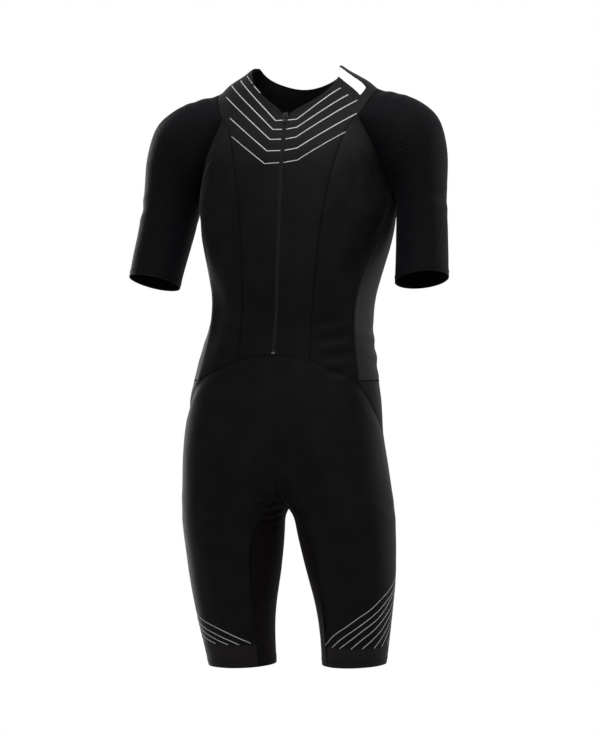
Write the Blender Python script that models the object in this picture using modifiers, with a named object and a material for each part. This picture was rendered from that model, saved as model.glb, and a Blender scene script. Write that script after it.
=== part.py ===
"""Short-sleeved triathlon suit, filled out as worn, with no wearer inside.

The suit faces -Y, the wearer's left is +X and +Z is up. The origin lies between the shoulders,
at the height of the neck's root. Tables and sizes are in millimetres and degrees.
"""

from functools import lru_cache
from math import asin, cos, degrees, pi, radians, sin, sqrt

import bmesh
import bpy
import numpy as np
from mathutils import Matrix, Vector
from mathutils.bvhtree import BVHTree

MM = 0.001
SUIT_NAME = "triathlon_suit"

# Driving sizes, in millimetres. WIDE_TRIM is how far the pieces with bent edges stand back from
# their seams, since their walls lean into their neighbours more.
WALL = 1.0
SEAM_GAP = 0.36
WIDE_TRIM = 0.5
NECK_FRONT_HEIGHT = -73.0
WAIST_FRONT_HEIGHT = -464.0
WAIST_SIDE_HEIGHT = -505.0
WAIST_SIDE_TURN = 57.0
WAIST_ARCH_BLEND = 0.75
GUSSET_HEIGHT = -692.0
CROTCH_HEIGHT = -718.0
LEG_HEM_HEIGHT = -973.0
ZIP_HALF_WIDTH = 3.0
ZIP_CHAIN_TOP = 4.0
LABEL_THICKNESS = 0.6
LABEL_LIFT = 0.8

# How finely each piece is divided.
ARMHOLE_STEPS = 20
APEX_STEP = 3
SUPPORT_SHARE = 0.75
UNDERARM_STEP = 10
SHOULDER_STEP = -2
SHOULDER_NECK_TURN = 98.0
FLANK_ROWS = 8
PELVIS_ROWS = 8
PELVIS_FOOT_HEIGHT = -672.0
LEG_ROWS = 9
LEG_ROW_CROWDING = 1.35
NECK_BACK_STEPS = 3
FRONT_CENTRE_COLUMNS = 6
FRONT_SIDE_COLUMNS = 4
FLANK_COLUMNS = 4
BACK_COLUMNS = 6
INNER_LEG_COLUMNS = 8
SHORTS_BACK_COLUMNS = 10

# Level sections of the form that the cloth is cut for. reach: outer half width. split: 0 is one
# tube, 1 is where the legs part, more is two legs. bridge: radius that joins the two halves.
# front, back: depths from the section's middle. power: 2 is an ellipse, more is squarer.
FORM_COLUMNS = ("height", "reach", "split", "front", "back", "power", "bridge", "middle")
FORM_ROWS = (
    (30, 52, 0, 48, 30, 2.1, 0.5, 15),
    (17, 73, 0, 61, 37, 2.1, 0.5, 15),
    (0, 101, 0, 71, 41, 2.1, 0.5, 15),
    (-18, 131, 0, 81, 46, 2.1, 0.5, 15),
    (-40, 143, 0, 89, 64, 2.2, 0.5, 15),
    (-70, 152, 0, 97, 80, 2.3, 0.5, 15),
    (-105, 158, 0, 107, 92, 2.3, 0.5, 12),
    (-145, 162, 0, 117, 101, 2.3, 0.5, 8),
    (-201, 166, 0, 125, 106, 2.3, 0.5, 4),
    (-242, 164, 0, 128, 104, 2.3, 0.5, 2),
    (-305, 151, 0, 127, 94, 2.3, 0.6, 1),
    (-365, 136, 0, 118, 81, 2.3, 0.8, 0),
    (-397, 132, 0, 109, 78, 2.3, 1.0, 0),
    (-443, 142, 0, 101, 88, 2.3, 1.5, 0),
    (-505, 155, 0.02, 98, 107, 2.3, 3.0, 0),
    (-584, 164, 0.2, 98, 122, 2.3, 6.0, 0),
    (-637, 170, 0.47, 97, 119, 2.25, 8.0, 0),
    (-672, 174.5, 0.72, 95, 112, 2.2, 9.0, 0),
    (-696, 177.5, 0.9, 93, 106, 2.15, 9.0, 0),
    (-718, 179, 1.0, 91, 101, 2.1, 9.0, 0),
    (-726, 179, 1.04, 90, 99, 2.1, 9.0, 0),
    (-764, 178, 1.1, 86, 92, 2.05, 9.0, 0),
    (-824, 174.5, 1.23, 78, 82, 2.0, 9.0, 0),
    (-895, 164.5, 1.475, 66, 68, 2.0, 9.0, 0),
    (-956, 153.5, 1.58, 57, 59, 2.0, 9.0, 0),
    (-973, 150.5, 1.59, 55, 57, 2.0, 9.0, 0),
)

# Standing pose: how far each level is carried sideways and backwards, and, for each 100 mm from
# the middle, how much further sideways it goes and how much the wearer's left is raised.
SWAY_COLUMNS = ("height", "aside", "behind", "lean", "rise")
SWAY_ROWS = (
    (-242, 0, 0, 0, 0),
    (-305, -1.5, -3, 0, 0),
    (-372, -4, -9, 0, 0),
    (-443, -10, -18, 0, 0),
    (-505, -13.5, -25, -0.3, 0),
    (-584, -16, -30, -0.6, 0),
    (-718, -9, -21, -1.5, 0),
    (-824, -2, -15, -2.6, 0.8),
    (-895, 2, -12, -3.2, 2),
    (-973, 6, -10, -3.2, 3.6),
)

# Neckline height by turn: 0 is the front, 90 the side of the neck, 180 the back.
NECKLINE_COLUMNS = ("turn", "height")
NECKLINE_ROWS = (
    (0, -73),
    (5, -64),
    (20, -41),
    (34, -15),
    (60, 10),
    (90, 18.5),
    (125, 12),
    (155, -4),
    (180, -14),
)

# Armhole seam on the form, by the turn of the sleeve: 0 is the shoulder top, 90 the front.
ARMHOLE_COLUMNS = ("around", "turn", "height")
ARMHOLE_ROWS = (
    (0, 90, -18),
    (27, 66, -38),
    (54, 43, -70),
    (90, 51.5, -100),
    (120, 60, -133),
    (150, 71, -172),
    (180, 90, -201),
    (210, 108, -172),
    (240, 119, -133),
    (270, 126, -100),
    (306, 128, -62),
    (333, 113, -34),
)

# Sleeve rings: outer and inner points seen from the front, the middle's place behind, the half
# depth, and how much higher the front edge is than the back.
SLEEVE_COLUMNS = ("outer_x", "outer_z", "inner_x", "inner_z", "middle", "depth", "lift")
SLEEVE_ROWS = (
    (165, -29, 167, -205, 2, 73, 0),
    (197, -39, 168, -208, 1, 72, 0),
    (222, -53, 169, -212, 0, 70, 1),
    (240, -76, 170.5, -219, -1, 68, 2),
    (251, -107, 172, -229, -3, 65, 3),
    (257.5, -145, 174, -243, -7, 62, 4),
    (258, -184, 176, -260, -13, 58, 6),
    (260.5, -224, 178.5, -280, -22, 54, 8),
    (265, -263, 181, -302, -33, 50, 9),
    (269, -300, 183.5, -325, -45, 47, 10),
    (272.5, -337.5, 186, -350, -57, 45, 11),
)

# How each arm hangs apart from that: sideways moves at the hem of the outer and the inner line.
SLEEVE_HANG = {"left": (-11.0, -11.0), "right": (0.0, -3.0)}

# Turn of each lengthwise seam by height.
PRINCESS_COLUMNS = ("height", "turn")
PRINCESS_ROWS = ((-475, 20), (-374, 22), (-266, 20.5), (-224, 21.5), (-180, 25), (-121, 30.5), (-70, 43))
FLANK_COLUMN_NAMES = ("height", "front", "back")
FLANK_SEAM_ROWS = (
    (WAIST_SIDE_HEIGHT, WAIST_SIDE_TURN, 114),
    (-397, 55, 114),
    (-357, 54, 114),
    (-305, 61, 112),
    (-272, 68, 108),
    (-235, 78, 100),
    (-201, 90, 90),
)
SHORTS_SIDE_COLUMNS = ("height", "turn")
SHORTS_SIDE_ROWS = (
    (-973, 118),
    (-700, 118),
    (-640, 113),
    (-584, 100),
    (-561, 80),
    (-523, 64),
    (WAIST_SIDE_HEIGHT, WAIST_SIDE_TURN),
)
INNER_LEG_SEAM_COLUMNS = ("height", "turn")
INNER_LEG_SEAM_ROWS = (
    (-973, -44),
    (-883, -41),
    (-832, -35),
    (-793, -32),
    (-755, -34),
    (-725, -40),
    (-703, -54),
    (-692, -64),
)

# The label's corners on the left shoulder, as (turn, height).
LABEL_NECK_UPPER = (67.0, 10.0)
LABEL_NECK_LOWER = (46.0, -4.0)
LABEL_ARM_UPPER = (68.0, -22.0)
LABEL_ARM_LOWER = (57.0, -36.0)
LABEL_STEPS = (12, 4)

# Zip slider and pull tab, in (outwards, downwards) from the top of the closed zip.
SLIDER_POST_WIDTH = 5.0
SLIDER_POST = ((-2.7, -0.6), (1.5, -0.6), (1.5, 2.6), (-2.7, 2.6))
SLIDER_LIMBS = {
    "slider_outer_plate": (8.0, ((0.3, -0.5), (1.4, -0.5), (1.4, 9.0), (0.3, 9.0))),
    "slider_inner_plate": (8.0, ((-2.6, -0.5), (-1.5, -0.5), (-1.5, 9.0), (-2.6, 9.0))),
    "slider_bridge": (
        1.8,
        (
            (1.2, 1.0),
            (3.9, 1.0),
            (4.4, 1.8),
            (4.4, 7.2),
            (3.9, 8.0),
            (1.2, 8.0),
            (1.2, 6.8),
            (3.2, 6.8),
            (3.2, 2.2),
            (1.2, 2.2),
        ),
    ),
}
TAB_THICKNESS = 1.0
TAB_HALF_WIDTH = 2.6
TAB_HOLE_HALF_WIDTH = 1.4
TAB_TOP = 5.2
TAB_BAR = 1.2
TAB_HOLE_LENGTH = 4.8
TAB_LENGTH = 12.5
TAB_MIDDLE = 2.3
STOP_SIZE = (5.4, 1.0, 3.0)
STOP_LIFT = 2.0

# Colours and finishes: name, colour, roughness.
FINISHES = {
    "main_cloth": ((0.012, 0.012, 0.013), 0.55),
    "sleeve_cloth": ((0.018, 0.02, 0.026), 0.6),
    "flank_cloth": ((0.045, 0.04, 0.041), 0.65),
    "inner_leg_cloth": ((0.012, 0.009, 0.011), 0.6),
    "zip_tape": ((0.02, 0.02, 0.021), 0.45),
    "zip_metal": ((0.03, 0.03, 0.032), 0.35),
    "stop_plastic": ((0.3, 0.3, 0.31), 0.4),
    "label_cloth": ((0.85, 0.85, 0.85), 0.5),
}


def smooth_curve(places, values):
    """A smooth function through the points that never swings past them."""
    order = np.argsort(places)
    xs = np.asarray(places, float)[order]
    ys = np.asarray(values, float)[order]
    steps = np.diff(xs)
    slopes = np.diff(ys) / steps
    tangents = np.zeros(len(xs))
    tangents[0] = slopes[0]
    tangents[-1] = slopes[-1]
    for i in range(1, len(xs) - 1):
        if slopes[i - 1] * slopes[i] > 0:
            tangents[i] = 2 * slopes[i - 1] * slopes[i] / (slopes[i - 1] + slopes[i])

    def value(x):
        x = min(max(x, xs[0]), xs[-1])
        i = min(int(np.searchsorted(xs, x, side="right")) - 1, len(steps) - 1)
        t = (x - xs[i]) / steps[i]
        ends = ys[i] * (1 + 2 * t) * (1 - t) ** 2 + ys[i + 1] * t * t * (3 - 2 * t)
        bends = tangents[i] * t * (1 - t) ** 2 - tangents[i + 1] * t * t * (1 - t)
        return float(ends + steps[i] * bends)

    return value


def table_curves(columns, rows):
    """One smooth function for each column after the first, by the first column."""
    table = np.array(rows, float)
    return {name: smooth_curve(table[:, 0], table[:, i]) for i, name in enumerate(columns) if i}


FORM = table_curves(FORM_COLUMNS, FORM_ROWS)
SWAY = table_curves(SWAY_COLUMNS, SWAY_ROWS)
NECKLINE = table_curves(NECKLINE_COLUMNS, NECKLINE_ROWS)["height"]
ARMHOLE_TURNS = [(row[0] + around, *row[1:]) for around in (-360, 0, 360) for row in ARMHOLE_ROWS]
ARMHOLE = table_curves(ARMHOLE_COLUMNS, ARMHOLE_TURNS)
PRINCESS = table_curves(PRINCESS_COLUMNS, PRINCESS_ROWS)["turn"]
FLANK = table_curves(FLANK_COLUMN_NAMES, FLANK_SEAM_ROWS)
SHORTS_SIDE = table_curves(SHORTS_SIDE_COLUMNS, SHORTS_SIDE_ROWS)["turn"]
INNER_LEG_SEAM = table_curves(INNER_LEG_SEAM_COLUMNS, INNER_LEG_SEAM_ROWS)["turn"]
RINGS = np.array(SLEEVE_ROWS, float)


@lru_cache(maxsize=None)
def section(height):
    """The form's level section: its sizes by name, with the lobe's centre and half width."""
    sizes = {name: curve(height) for name, curve in FORM.items()}
    sizes["half_width"] = (sizes["reach"] - sizes["bridge"]) / (1 + sizes["split"])
    sizes["centre"] = sizes["bridge"] + sizes["split"] * sizes["half_width"]
    return sizes


def form_point(turn, height, side):
    """The point of the form's surface at a turn from the front, at a height, on one side."""
    size = section(height)
    rise = sin(radians(turn))
    run = cos(radians(turn))
    across = np.sign(rise) * abs(rise) ** (2 / size["power"])
    along = abs(run) ** (2 / size["power"])
    lobe_x = max(size["centre"] + size["half_width"] * across, size["bridge"])
    x = sqrt(max(lobe_x**2 - size["bridge"] ** 2, 0.0))
    y = size["middle"] + (-size["front"] * along if run > 0 else size["back"] * along)
    aside = SWAY["aside"](height) + SWAY["lean"](height) * x / 100
    raised = SWAY["rise"](height) * side * x / 100
    return Vector((side * x + aside, y + SWAY["behind"](height), height + raised))


def turn_at(x, height):
    """The turn, on the front, at which the form is x away from the middle plane."""
    size = section(height)
    across = (sqrt(x**2 + size["bridge"] ** 2) - size["centre"]) / size["half_width"]
    across = min(max(across, -1.0), 1.0)
    return degrees(asin(np.sign(across) * abs(across) ** (size["power"] / 2)))


def middle_turn(height):
    """The turn of the front middle line, negative where the section parts into two lobes."""
    return turn_at(0.0, height)


def middle_height(turn):
    """The height, near the crotch, at which the middle line has this turn, on front or back."""
    front_turn = turn if turn > -90 else -180 - turn
    low, high = CROTCH_HEIGHT, WAIST_SIDE_HEIGHT
    for _ in range(50):
        tried = (low + high) / 2
        if middle_turn(tried) < front_turn:
            low = tried
        else:
            high = tried
    return (low + high) / 2


def waist_height(turn):
    """The waist seam: an arch in front, level at the sides and the back."""
    if turn > WAIST_SIDE_TURN:
        return WAIST_SIDE_HEIGHT
    t = max(turn / WAIST_SIDE_TURN, 0.0)
    blend = t * t * (3 - 2 * t)
    fall = WAIST_ARCH_BLEND * blend + (1 - WAIST_ARCH_BLEND) * t**3
    return WAIST_FRONT_HEIGHT + (WAIST_SIDE_HEIGHT - WAIST_FRONT_HEIGHT) * fall


def armhole_place(step):
    """(turn, height) of one step of the armhole seam."""
    around = 360.0 * step / ARMHOLE_STEPS
    return ARMHOLE["turn"](around), ARMHOLE["height"](around)


def even_steps(place, start, end, steps):
    """Values from start to end that part the curve place(value) into equal lengths on the form."""
    tried = np.linspace(start, end, 200)
    points = [form_point(*place(value), 1) for value in tried]
    lengths = np.cumsum([0.0] + [(b - a).length for a, b in zip(points, points[1:])])
    return np.interp(np.linspace(0, lengths[-1], steps + 1), lengths, tried)


def down_a_seam(curve, top, bottom, steps):
    """(turn, height) places evenly down a lengthwise seam."""
    return [(curve(h), h) for h in even_steps(lambda h: (curve(h), h), top, bottom, steps)]


def ruled(inner, outer, columns):
    """Rows of (turn, height) places between two seams that have the same number of places."""
    shares = columns if isinstance(columns, (list, tuple)) else np.linspace(0, 1, columns + 1)
    return [[tuple(np.array(a) * (1 - s) + np.array(b) * s) for s in shares] for a, b in zip(inner, outer)]


def with_support(places):
    """The same places with one more just before the last, which keeps the wall square to the seam."""
    before, last = np.array(places[-2]), np.array(places[-1])
    return places[:-1] + [tuple(before + (last - before) * SUPPORT_SHARE), places[-1]]


def supported(rows, side):
    """Points of rows whose last but one is a support row; its ends lie straight between neighbours."""
    points = on_form(rows, side)
    for end in (0, -1):
        points[-2][end] = points[-3][end].lerp(points[-1][end], SUPPORT_SHARE)
    return points


def waist_row(row):
    """The same turns, with each place moved onto the waist seam."""
    return [(turn, waist_height(turn)) for turn, _ in row]


def on_form(rows, side):
    return [[form_point(turn, height, side) for turn, height in row] for row in rows]


def sleeve_rings(side):
    """The sleeve's rings of points, from the armhole seam to the hem."""
    rings = [[form_point(*armhole_place(step), side) for step in range(ARMHOLE_STEPS)]]
    outer_hang, inner_hang = SLEEVE_HANG["left" if side > 0 else "right"]
    for number, (outer_x, outer_z, inner_x, inner_z, middle, depth, lift) in enumerate(RINGS):
        share = number / (len(RINGS) - 1)
        outer = Vector((side * outer_x + outer_hang * share, middle, outer_z))
        inner = Vector((side * inner_x + inner_hang * share, middle, inner_z))
        centre = (outer + inner) / 2
        reach = (outer - inner) / 2
        forward = Vector((0, -depth, lift))
        angles = [2 * pi * step / ARMHOLE_STEPS for step in range(ARMHOLE_STEPS)]
        rings.append([centre + reach * cos(a) + forward * sin(a) for a in angles])
    return rings


def material(name):
    """A plain Principled material of the piece's colour and roughness."""
    found = bpy.data.materials.get(name)
    if found:
        return found
    colour, roughness = FINISHES[name]
    made = bpy.data.materials.new(name)
    made.use_nodes = True
    shader = made.node_tree.nodes["Principled BSDF"]
    shader.inputs["Base Color"].default_value = (*colour, 1)
    shader.inputs["Roughness"].default_value = roughness
    shader.inputs["Metallic"].default_value = 0.8 if name == "zip_metal" else 0.0
    return made


def add_object(name, mesh, finish):
    """Puts a mesh in the suit's collection under its name and material."""
    mesh.name = name
    piece = bpy.data.objects.new(name, mesh)
    bpy.data.collections[SUIT_NAME].objects.link(piece)
    mesh.materials.clear()
    mesh.materials.append(material(finish))
    return piece


def add_grid(shape, rows, closed=False):
    """Adds quads over rows of points, in millimetres, to a bmesh."""
    verts = [[shape.verts.new(point * MM) for point in row] for row in rows]
    for upper, lower in zip(verts, verts[1:]):
        count = len(upper) if closed else len(upper) - 1
        for i in range(count):
            j = (i + 1) % len(upper)
            shape.faces.new((upper[i], lower[i], lower[j], upper[j]))


def face_outwards(shape, sleeve_side=0):
    """Turns the whole surface so that it faces away from the middle of its own tube."""
    total = 0.0
    for face in shape.faces:
        middle = face.calc_center_median() / MM
        if sleeve_side:
            ring = RINGS[int(np.argmin(abs(RINGS[:, 1] + RINGS[:, 3] - 2 * middle.z)))]
            inside = Vector((sleeve_side * (ring[0] + ring[2]) / 2, ring[4], middle.z))
        else:
            side = 1 if middle.x > SWAY["aside"](middle.z) else -1
            size = section(middle.z)
            inside = Vector((side * size["centre"] * min(size["split"], 1), size["middle"], middle.z))
            inside += Vector((SWAY["aside"](middle.z), SWAY["behind"](middle.z), 0))
        total += face.normal.dot(middle - inside) * face.calc_area()
    if total < 0:
        bmesh.ops.reverse_faces(shape, faces=shape.faces)


def trim_edges(shape, width):
    """Draws the open edges of a surface in by width, so that neighbours stay apart at the seam."""
    moves = {}
    for vert in shape.verts:
        rims = [edge for edge in vert.link_edges if edge.is_boundary]
        if len(rims) != 2:
            continue
        inward = []
        for edge in rims:
            face = edge.link_faces[0]
            direction = (edge.other_vert(vert).co - vert.co).normalized()
            to_face = face.calc_center_median() - vert.co
            normal = to_face - direction * to_face.dot(direction)
            inward.append(normal.normalized())
        corner = (inward[0] + inward[1]) / max(1 + inward[0].dot(inward[1]), 0.12)
        moves[vert] = corner * width
    for vert, move in moves.items():
        vert.co += move


def cloth(name, grids, finish, wall=WALL, trim=SEAM_GAP / 2, closed=False, sleeve_side=0):
    """A cloth piece: one open surface over its grids, given a wall on its inner side."""
    shape = bmesh.new()
    for rows in grids:
        add_grid(shape, rows, closed)
    bmesh.ops.remove_doubles(shape, verts=shape.verts, dist=0.00001)
    bmesh.ops.dissolve_degenerate(shape, edges=shape.edges, dist=0.00001)
    bmesh.ops.recalc_face_normals(shape, faces=shape.faces)
    shape.normal_update()
    face_outwards(shape, sleeve_side)
    trim_edges(shape, trim * MM)
    bmesh.ops.triangulate(shape, faces=shape.faces, quad_method="SHORT_EDGE")
    shape.normal_update()
    mesh = bpy.data.meshes.new(name)
    shape.to_mesh(mesh)
    shape.free()
    mesh.shade_smooth()
    piece = add_object(name, mesh, finish)
    thickness = piece.modifiers.new("Cloth wall", "SOLIDIFY")
    thickness.thickness = wall * MM
    thickness.offset = -1
    return piece


def outline_solid(outlines, thickness, placing):
    """A flat outline, with any holes, given a thickness: a mesh placed by a matrix."""
    curve = bpy.data.curves.new("outline", "CURVE")
    curve.dimensions = "2D"
    curve.fill_mode = "BOTH"
    curve.extrude = thickness / 2 * MM
    for outline in outlines:
        spline = curve.splines.new("POLY")
        spline.points.add(len(outline) - 1)
        spline.use_cyclic_u = True
        for point, (x, y) in zip(spline.points, outline):
            point.co = (x * MM, y * MM, 0, 1)
    holder = bpy.data.objects.new("outline", curve)
    bpy.context.scene.collection.objects.link(holder)
    graph = bpy.context.evaluated_depsgraph_get()
    mesh = bpy.data.meshes.new_from_object(holder.evaluated_get(graph))
    bpy.data.objects.remove(holder)
    shape = bmesh.new()
    shape.from_mesh(mesh)
    bmesh.ops.remove_doubles(shape, verts=shape.verts, dist=0.00001)
    bmesh.ops.transform(shape, matrix=placing, verts=shape.verts)
    bmesh.ops.recalc_face_normals(shape, faces=shape.faces)
    shape.to_mesh(mesh)
    shape.free()
    return mesh


def front_places():
    """Seam places shared by the front's pieces, from the waist up."""
    rows = UNDERARM_STEP - APEX_STEP + FLANK_ROWS
    apex = armhole_place(APEX_STEP)
    foot_height = waist_height(PRINCESS(PRINCESS_ROWS[0][0]))
    heights = np.linspace(foot_height, apex[1], rows + 1)
    princess = [(PRINCESS(h), h) for h in heights]
    princess[-1] = apex
    zip_heights = np.linspace(WAIST_FRONT_HEIGHT, NECK_FRONT_HEIGHT, rows + 1)
    zip_edge = [(turn_at(ZIP_HALF_WIDTH, h), h) for h in zip_heights]
    flank_front = down_a_seam(FLANK["front"], WAIST_SIDE_HEIGHT, armhole_place(UNDERARM_STEP)[1], FLANK_ROWS)
    flank_back = [(FLANK["back"](h), h) for _, h in flank_front]
    return {"princess": princess, "zip": zip_edge, "flank_front": flank_front, "flank_back": flank_back}


def neckline_places(start, end, steps):
    turns = even_steps(lambda t: (t, NECKLINE(t)), start, end, steps)
    return [(t, NECKLINE(t)) for t in turns]


def build_fronts(places):
    """Front centre with its yoke, front side and flank panel, left and right."""
    up_steps = APEX_STEP - SHOULDER_STEP
    neck = neckline_places(places["zip"][-1][0], SHOULDER_NECK_TURN, up_steps)
    inner = places["zip"] + neck[1:]
    armhole_up = [armhole_place(APEX_STEP - step) for step in range(1, up_steps + 1)]
    outer = places["princess"] + armhole_up
    centre = ruled(with_support(inner), with_support(outer), FRONT_CENTRE_COLUMNS)
    armhole_down = [armhole_place(step) for step in range(UNDERARM_STEP, APEX_STEP - 1, -1)]
    side_edge = places["flank_front"] + armhole_down[1:]
    front_side = ruled(places["princess"], side_edge, FRONT_SIDE_COLUMNS)
    centre[0] = waist_row(centre[0])
    front_side[0] = waist_row(front_side[0])
    flank = ruled(places["flank_front"], places["flank_back"], FLANK_COLUMNS)
    for side, word in ((1, "left"), (-1, "right")):
        cloth(f"front_centre_{word}", [supported(centre, side)], "main_cloth")
        cloth(f"front_side_{word}", [on_form(front_side, side)], "main_cloth")
        cloth(f"side_panel_{word}", [on_form(flank, side)], "flank_cloth", trim=WIDE_TRIM)


def build_back(places):
    """The back: one piece, its two halves joined on the middle line."""
    armhole_up = [armhole_place(step) for step in range(UNDERARM_STEP, ARMHOLE_STEPS + SHOULDER_STEP + 1)]
    outer = places["flank_back"] + armhole_up[1:]
    spine_steps = len(outer) - 1 - NECK_BACK_STEPS
    spine_heights = np.linspace(WAIST_SIDE_HEIGHT, NECKLINE(180.0), spine_steps + 1)
    spine = [(180.0 - middle_turn(h), h) for h in spine_heights]
    neck = neckline_places(180.0, SHOULDER_NECK_TURN, NECK_BACK_STEPS)
    rows = ruled(with_support(spine + neck[1:]), with_support(outer), BACK_COLUMNS)
    cloth("back_panel", [supported(rows, 1), supported(rows, -1)], "main_cloth", trim=WIDE_TRIM)


def build_sleeves():
    for side, word in ((1, "left"), (-1, "right")):
        rings = sleeve_rings(side)
        cloth(f"sleeve_{word}", [rings], "sleeve_cloth", trim=WIDE_TRIM, closed=True, sleeve_side=side)


def shorts_places(places):
    """Seam places shared by the shorts' pieces, from the waist down."""
    side_top = places["flank_front"][0]
    side = down_a_seam(SHORTS_SIDE, side_top[1], PELVIS_FOOT_HEIGHT, PELVIS_ROWS)
    side += down_a_seam(SHORTS_SIDE, PELVIS_FOOT_HEIGHT, LEG_HEM_HEIGHT, LEG_ROWS)[1:]
    side[0] = side_top
    shares = np.linspace(0, 1, LEG_ROWS + 1) ** LEG_ROW_CROWDING
    leg_heights = GUSSET_HEIGHT + (LEG_HEM_HEIGHT - GUSSET_HEIGHT) * shares
    leg_front = [(INNER_LEG_SEAM(h), h) for h in leg_heights]
    leg_front[0] = (middle_turn(GUSSET_HEIGHT), GUSSET_HEIGHT)
    leg_back = [(-180.0 - turn, h) for turn, h in leg_front]
    return {"side": side, "leg_front": leg_front, "leg_back": leg_back}


def middle_line(top, steps, back=False):
    """Places down the middle line from the waist to the gusset."""
    heights = np.linspace(top, GUSSET_HEIGHT, steps + 1)
    if back:
        return [(180.0 - middle_turn(h), h) for h in heights]
    return [(middle_turn(h), h) for h in heights]


def build_shorts(upper, places):
    """Shorts front in one piece, two back halves, and the two inner leg panels."""
    inner = middle_line(WAIST_FRONT_HEIGHT, PELVIS_ROWS) + places["leg_front"][1:]
    waist_turns = [middle_turn(WAIST_FRONT_HEIGHT)]
    waist_turns += list(np.linspace(upper["zip"][0][0], upper["princess"][0][0], FRONT_CENTRE_COLUMNS + 1))
    side_turns = np.linspace(upper["princess"][0][0], places["side"][0][0], FRONT_SIDE_COLUMNS + 1)
    waist_turns += list(side_turns[1:])
    shares = [(turn - waist_turns[0]) / (waist_turns[-1] - waist_turns[0]) for turn in waist_turns]
    front = ruled(inner, places["side"], shares)
    front[0] = [(turn, waist_height(turn)) for turn in waist_turns]
    cloth("shorts_front", [on_form(front, 1), on_form(front, -1)], "main_cloth")
    back_inner = middle_line(WAIST_SIDE_HEIGHT, PELVIS_ROWS, back=True)
    back_inner += [(360.0 + turn, h) for turn, h in places["leg_back"][1:]]
    back = ruled(back_inner, places["side"], SHORTS_BACK_COLUMNS)
    shares = np.linspace(0, 1, INNER_LEG_COLUMNS + 1)
    top_turns = places["leg_front"][0][0] + shares * (places["leg_back"][0][0] - places["leg_front"][0][0])
    saddle = [(turn, middle_height(turn)) for turn in top_turns]
    inner_leg = ruled(places["leg_front"], places["leg_back"], INNER_LEG_COLUMNS)
    for number, row in enumerate(inner_leg):
        dip = 1 - number / LEG_ROWS
        for i, (turn, height) in enumerate(row):
            row[i] = (turn, height + dip * (saddle[i][1] - GUSSET_HEIGHT))
    inner_leg[0] = saddle
    for side, word in ((1, "left"), (-1, "right")):
        cloth(f"shorts_back_{word}", [on_form(back, side)], "main_cloth", trim=WIDE_TRIM)
        cloth(f"inner_leg_{word}", [on_form(inner_leg, side)], "inner_leg_cloth", trim=WIDE_TRIM)


def build_zip(places):
    """Closed zip: chain, slider, pull tab and bottom stop."""
    heights = [h for _, h in places["zip"]]
    top, below = (form_point(middle_turn(h), h, 1) for h in (heights[-1], heights[-2]))
    down = (below - top).normalized()
    out = down.cross(Vector((1, 0, 0))).normalized()
    heights[-1] = (top + down * ZIP_CHAIN_TOP).z
    turns = [(turn_at(ZIP_HALF_WIDTH, h), h) for h in heights]
    rows = [[form_point(turn, h, -1), form_point(turn, h, 1)] for turn, h in turns]
    cloth("zip_chain", [rows], "zip_tape")

    def placing(x_axis, y_axis, origin):
        axes = Matrix((x_axis, y_axis, x_axis.cross(y_axis))).transposed().to_4x4()
        return Matrix.Translation(origin * MM) @ axes

    side_on = placing(out, down, top)
    post = outline_solid([SLIDER_POST], SLIDER_POST_WIDTH, side_on)
    slider = add_object("zip_slider", post, "zip_metal")
    for name, (width, profile) in SLIDER_LIMBS.items():
        limb = bpy.data.objects.new(name, outline_solid([profile], width, side_on))
        bpy.data.collections["helpers"].objects.link(limb)
        limb.hide_render = True
        limb.display_type = "WIRE"
        joined = slider.modifiers.new(name, "BOOLEAN")
        joined.operation = "UNION"
        joined.object = limb
    face_on = placing(Vector((1, 0, 0)), down, top + out * TAB_MIDDLE)
    hole_top = TAB_TOP + TAB_BAR
    hole = [
        (-TAB_HOLE_HALF_WIDTH, hole_top),
        (TAB_HOLE_HALF_WIDTH, hole_top),
        (TAB_HOLE_HALF_WIDTH, hole_top + TAB_HOLE_LENGTH),
        (-TAB_HOLE_HALF_WIDTH, hole_top + TAB_HOLE_LENGTH),
    ]
    foot = TAB_TOP + TAB_LENGTH - TAB_HALF_WIDTH
    round_end = [(TAB_HALF_WIDTH * cos(a), foot + TAB_HALF_WIDTH * sin(a)) for a in np.linspace(0, pi, 9)]
    outline = [(-TAB_HALF_WIDTH, TAB_TOP), (TAB_HALF_WIDTH, TAB_TOP)] + round_end
    add_object("zip_pull_tab", outline_solid([outline, hole], TAB_THICKNESS, face_on), "zip_metal")
    low, above = (form_point(middle_turn(h), h, 1) for h in (heights[0], heights[1]))
    up = (above - low).normalized()
    stop_out = Vector((1, 0, 0)).cross(up).normalized()
    stop = bmesh.new()
    bmesh.ops.create_cube(stop, size=1.0)
    bmesh.ops.scale(stop, vec=Vector(STOP_SIZE) * MM, verts=stop.verts)
    place = low + up * (STOP_SIZE[2] / 2 + STOP_LIFT) + stop_out * (STOP_SIZE[1] / 2 + SEAM_GAP)
    turned = Matrix((Vector((1, 0, 0)), -stop_out, up)).transposed().to_4x4()
    bmesh.ops.transform(stop, matrix=Matrix.Translation(place * MM) @ turned, verts=stop.verts)
    stop_mesh = bpy.data.meshes.new("zip_bottom_stop")
    stop.to_mesh(stop_mesh)
    stop.free()
    add_object("zip_bottom_stop", stop_mesh, "stop_plastic")


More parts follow.
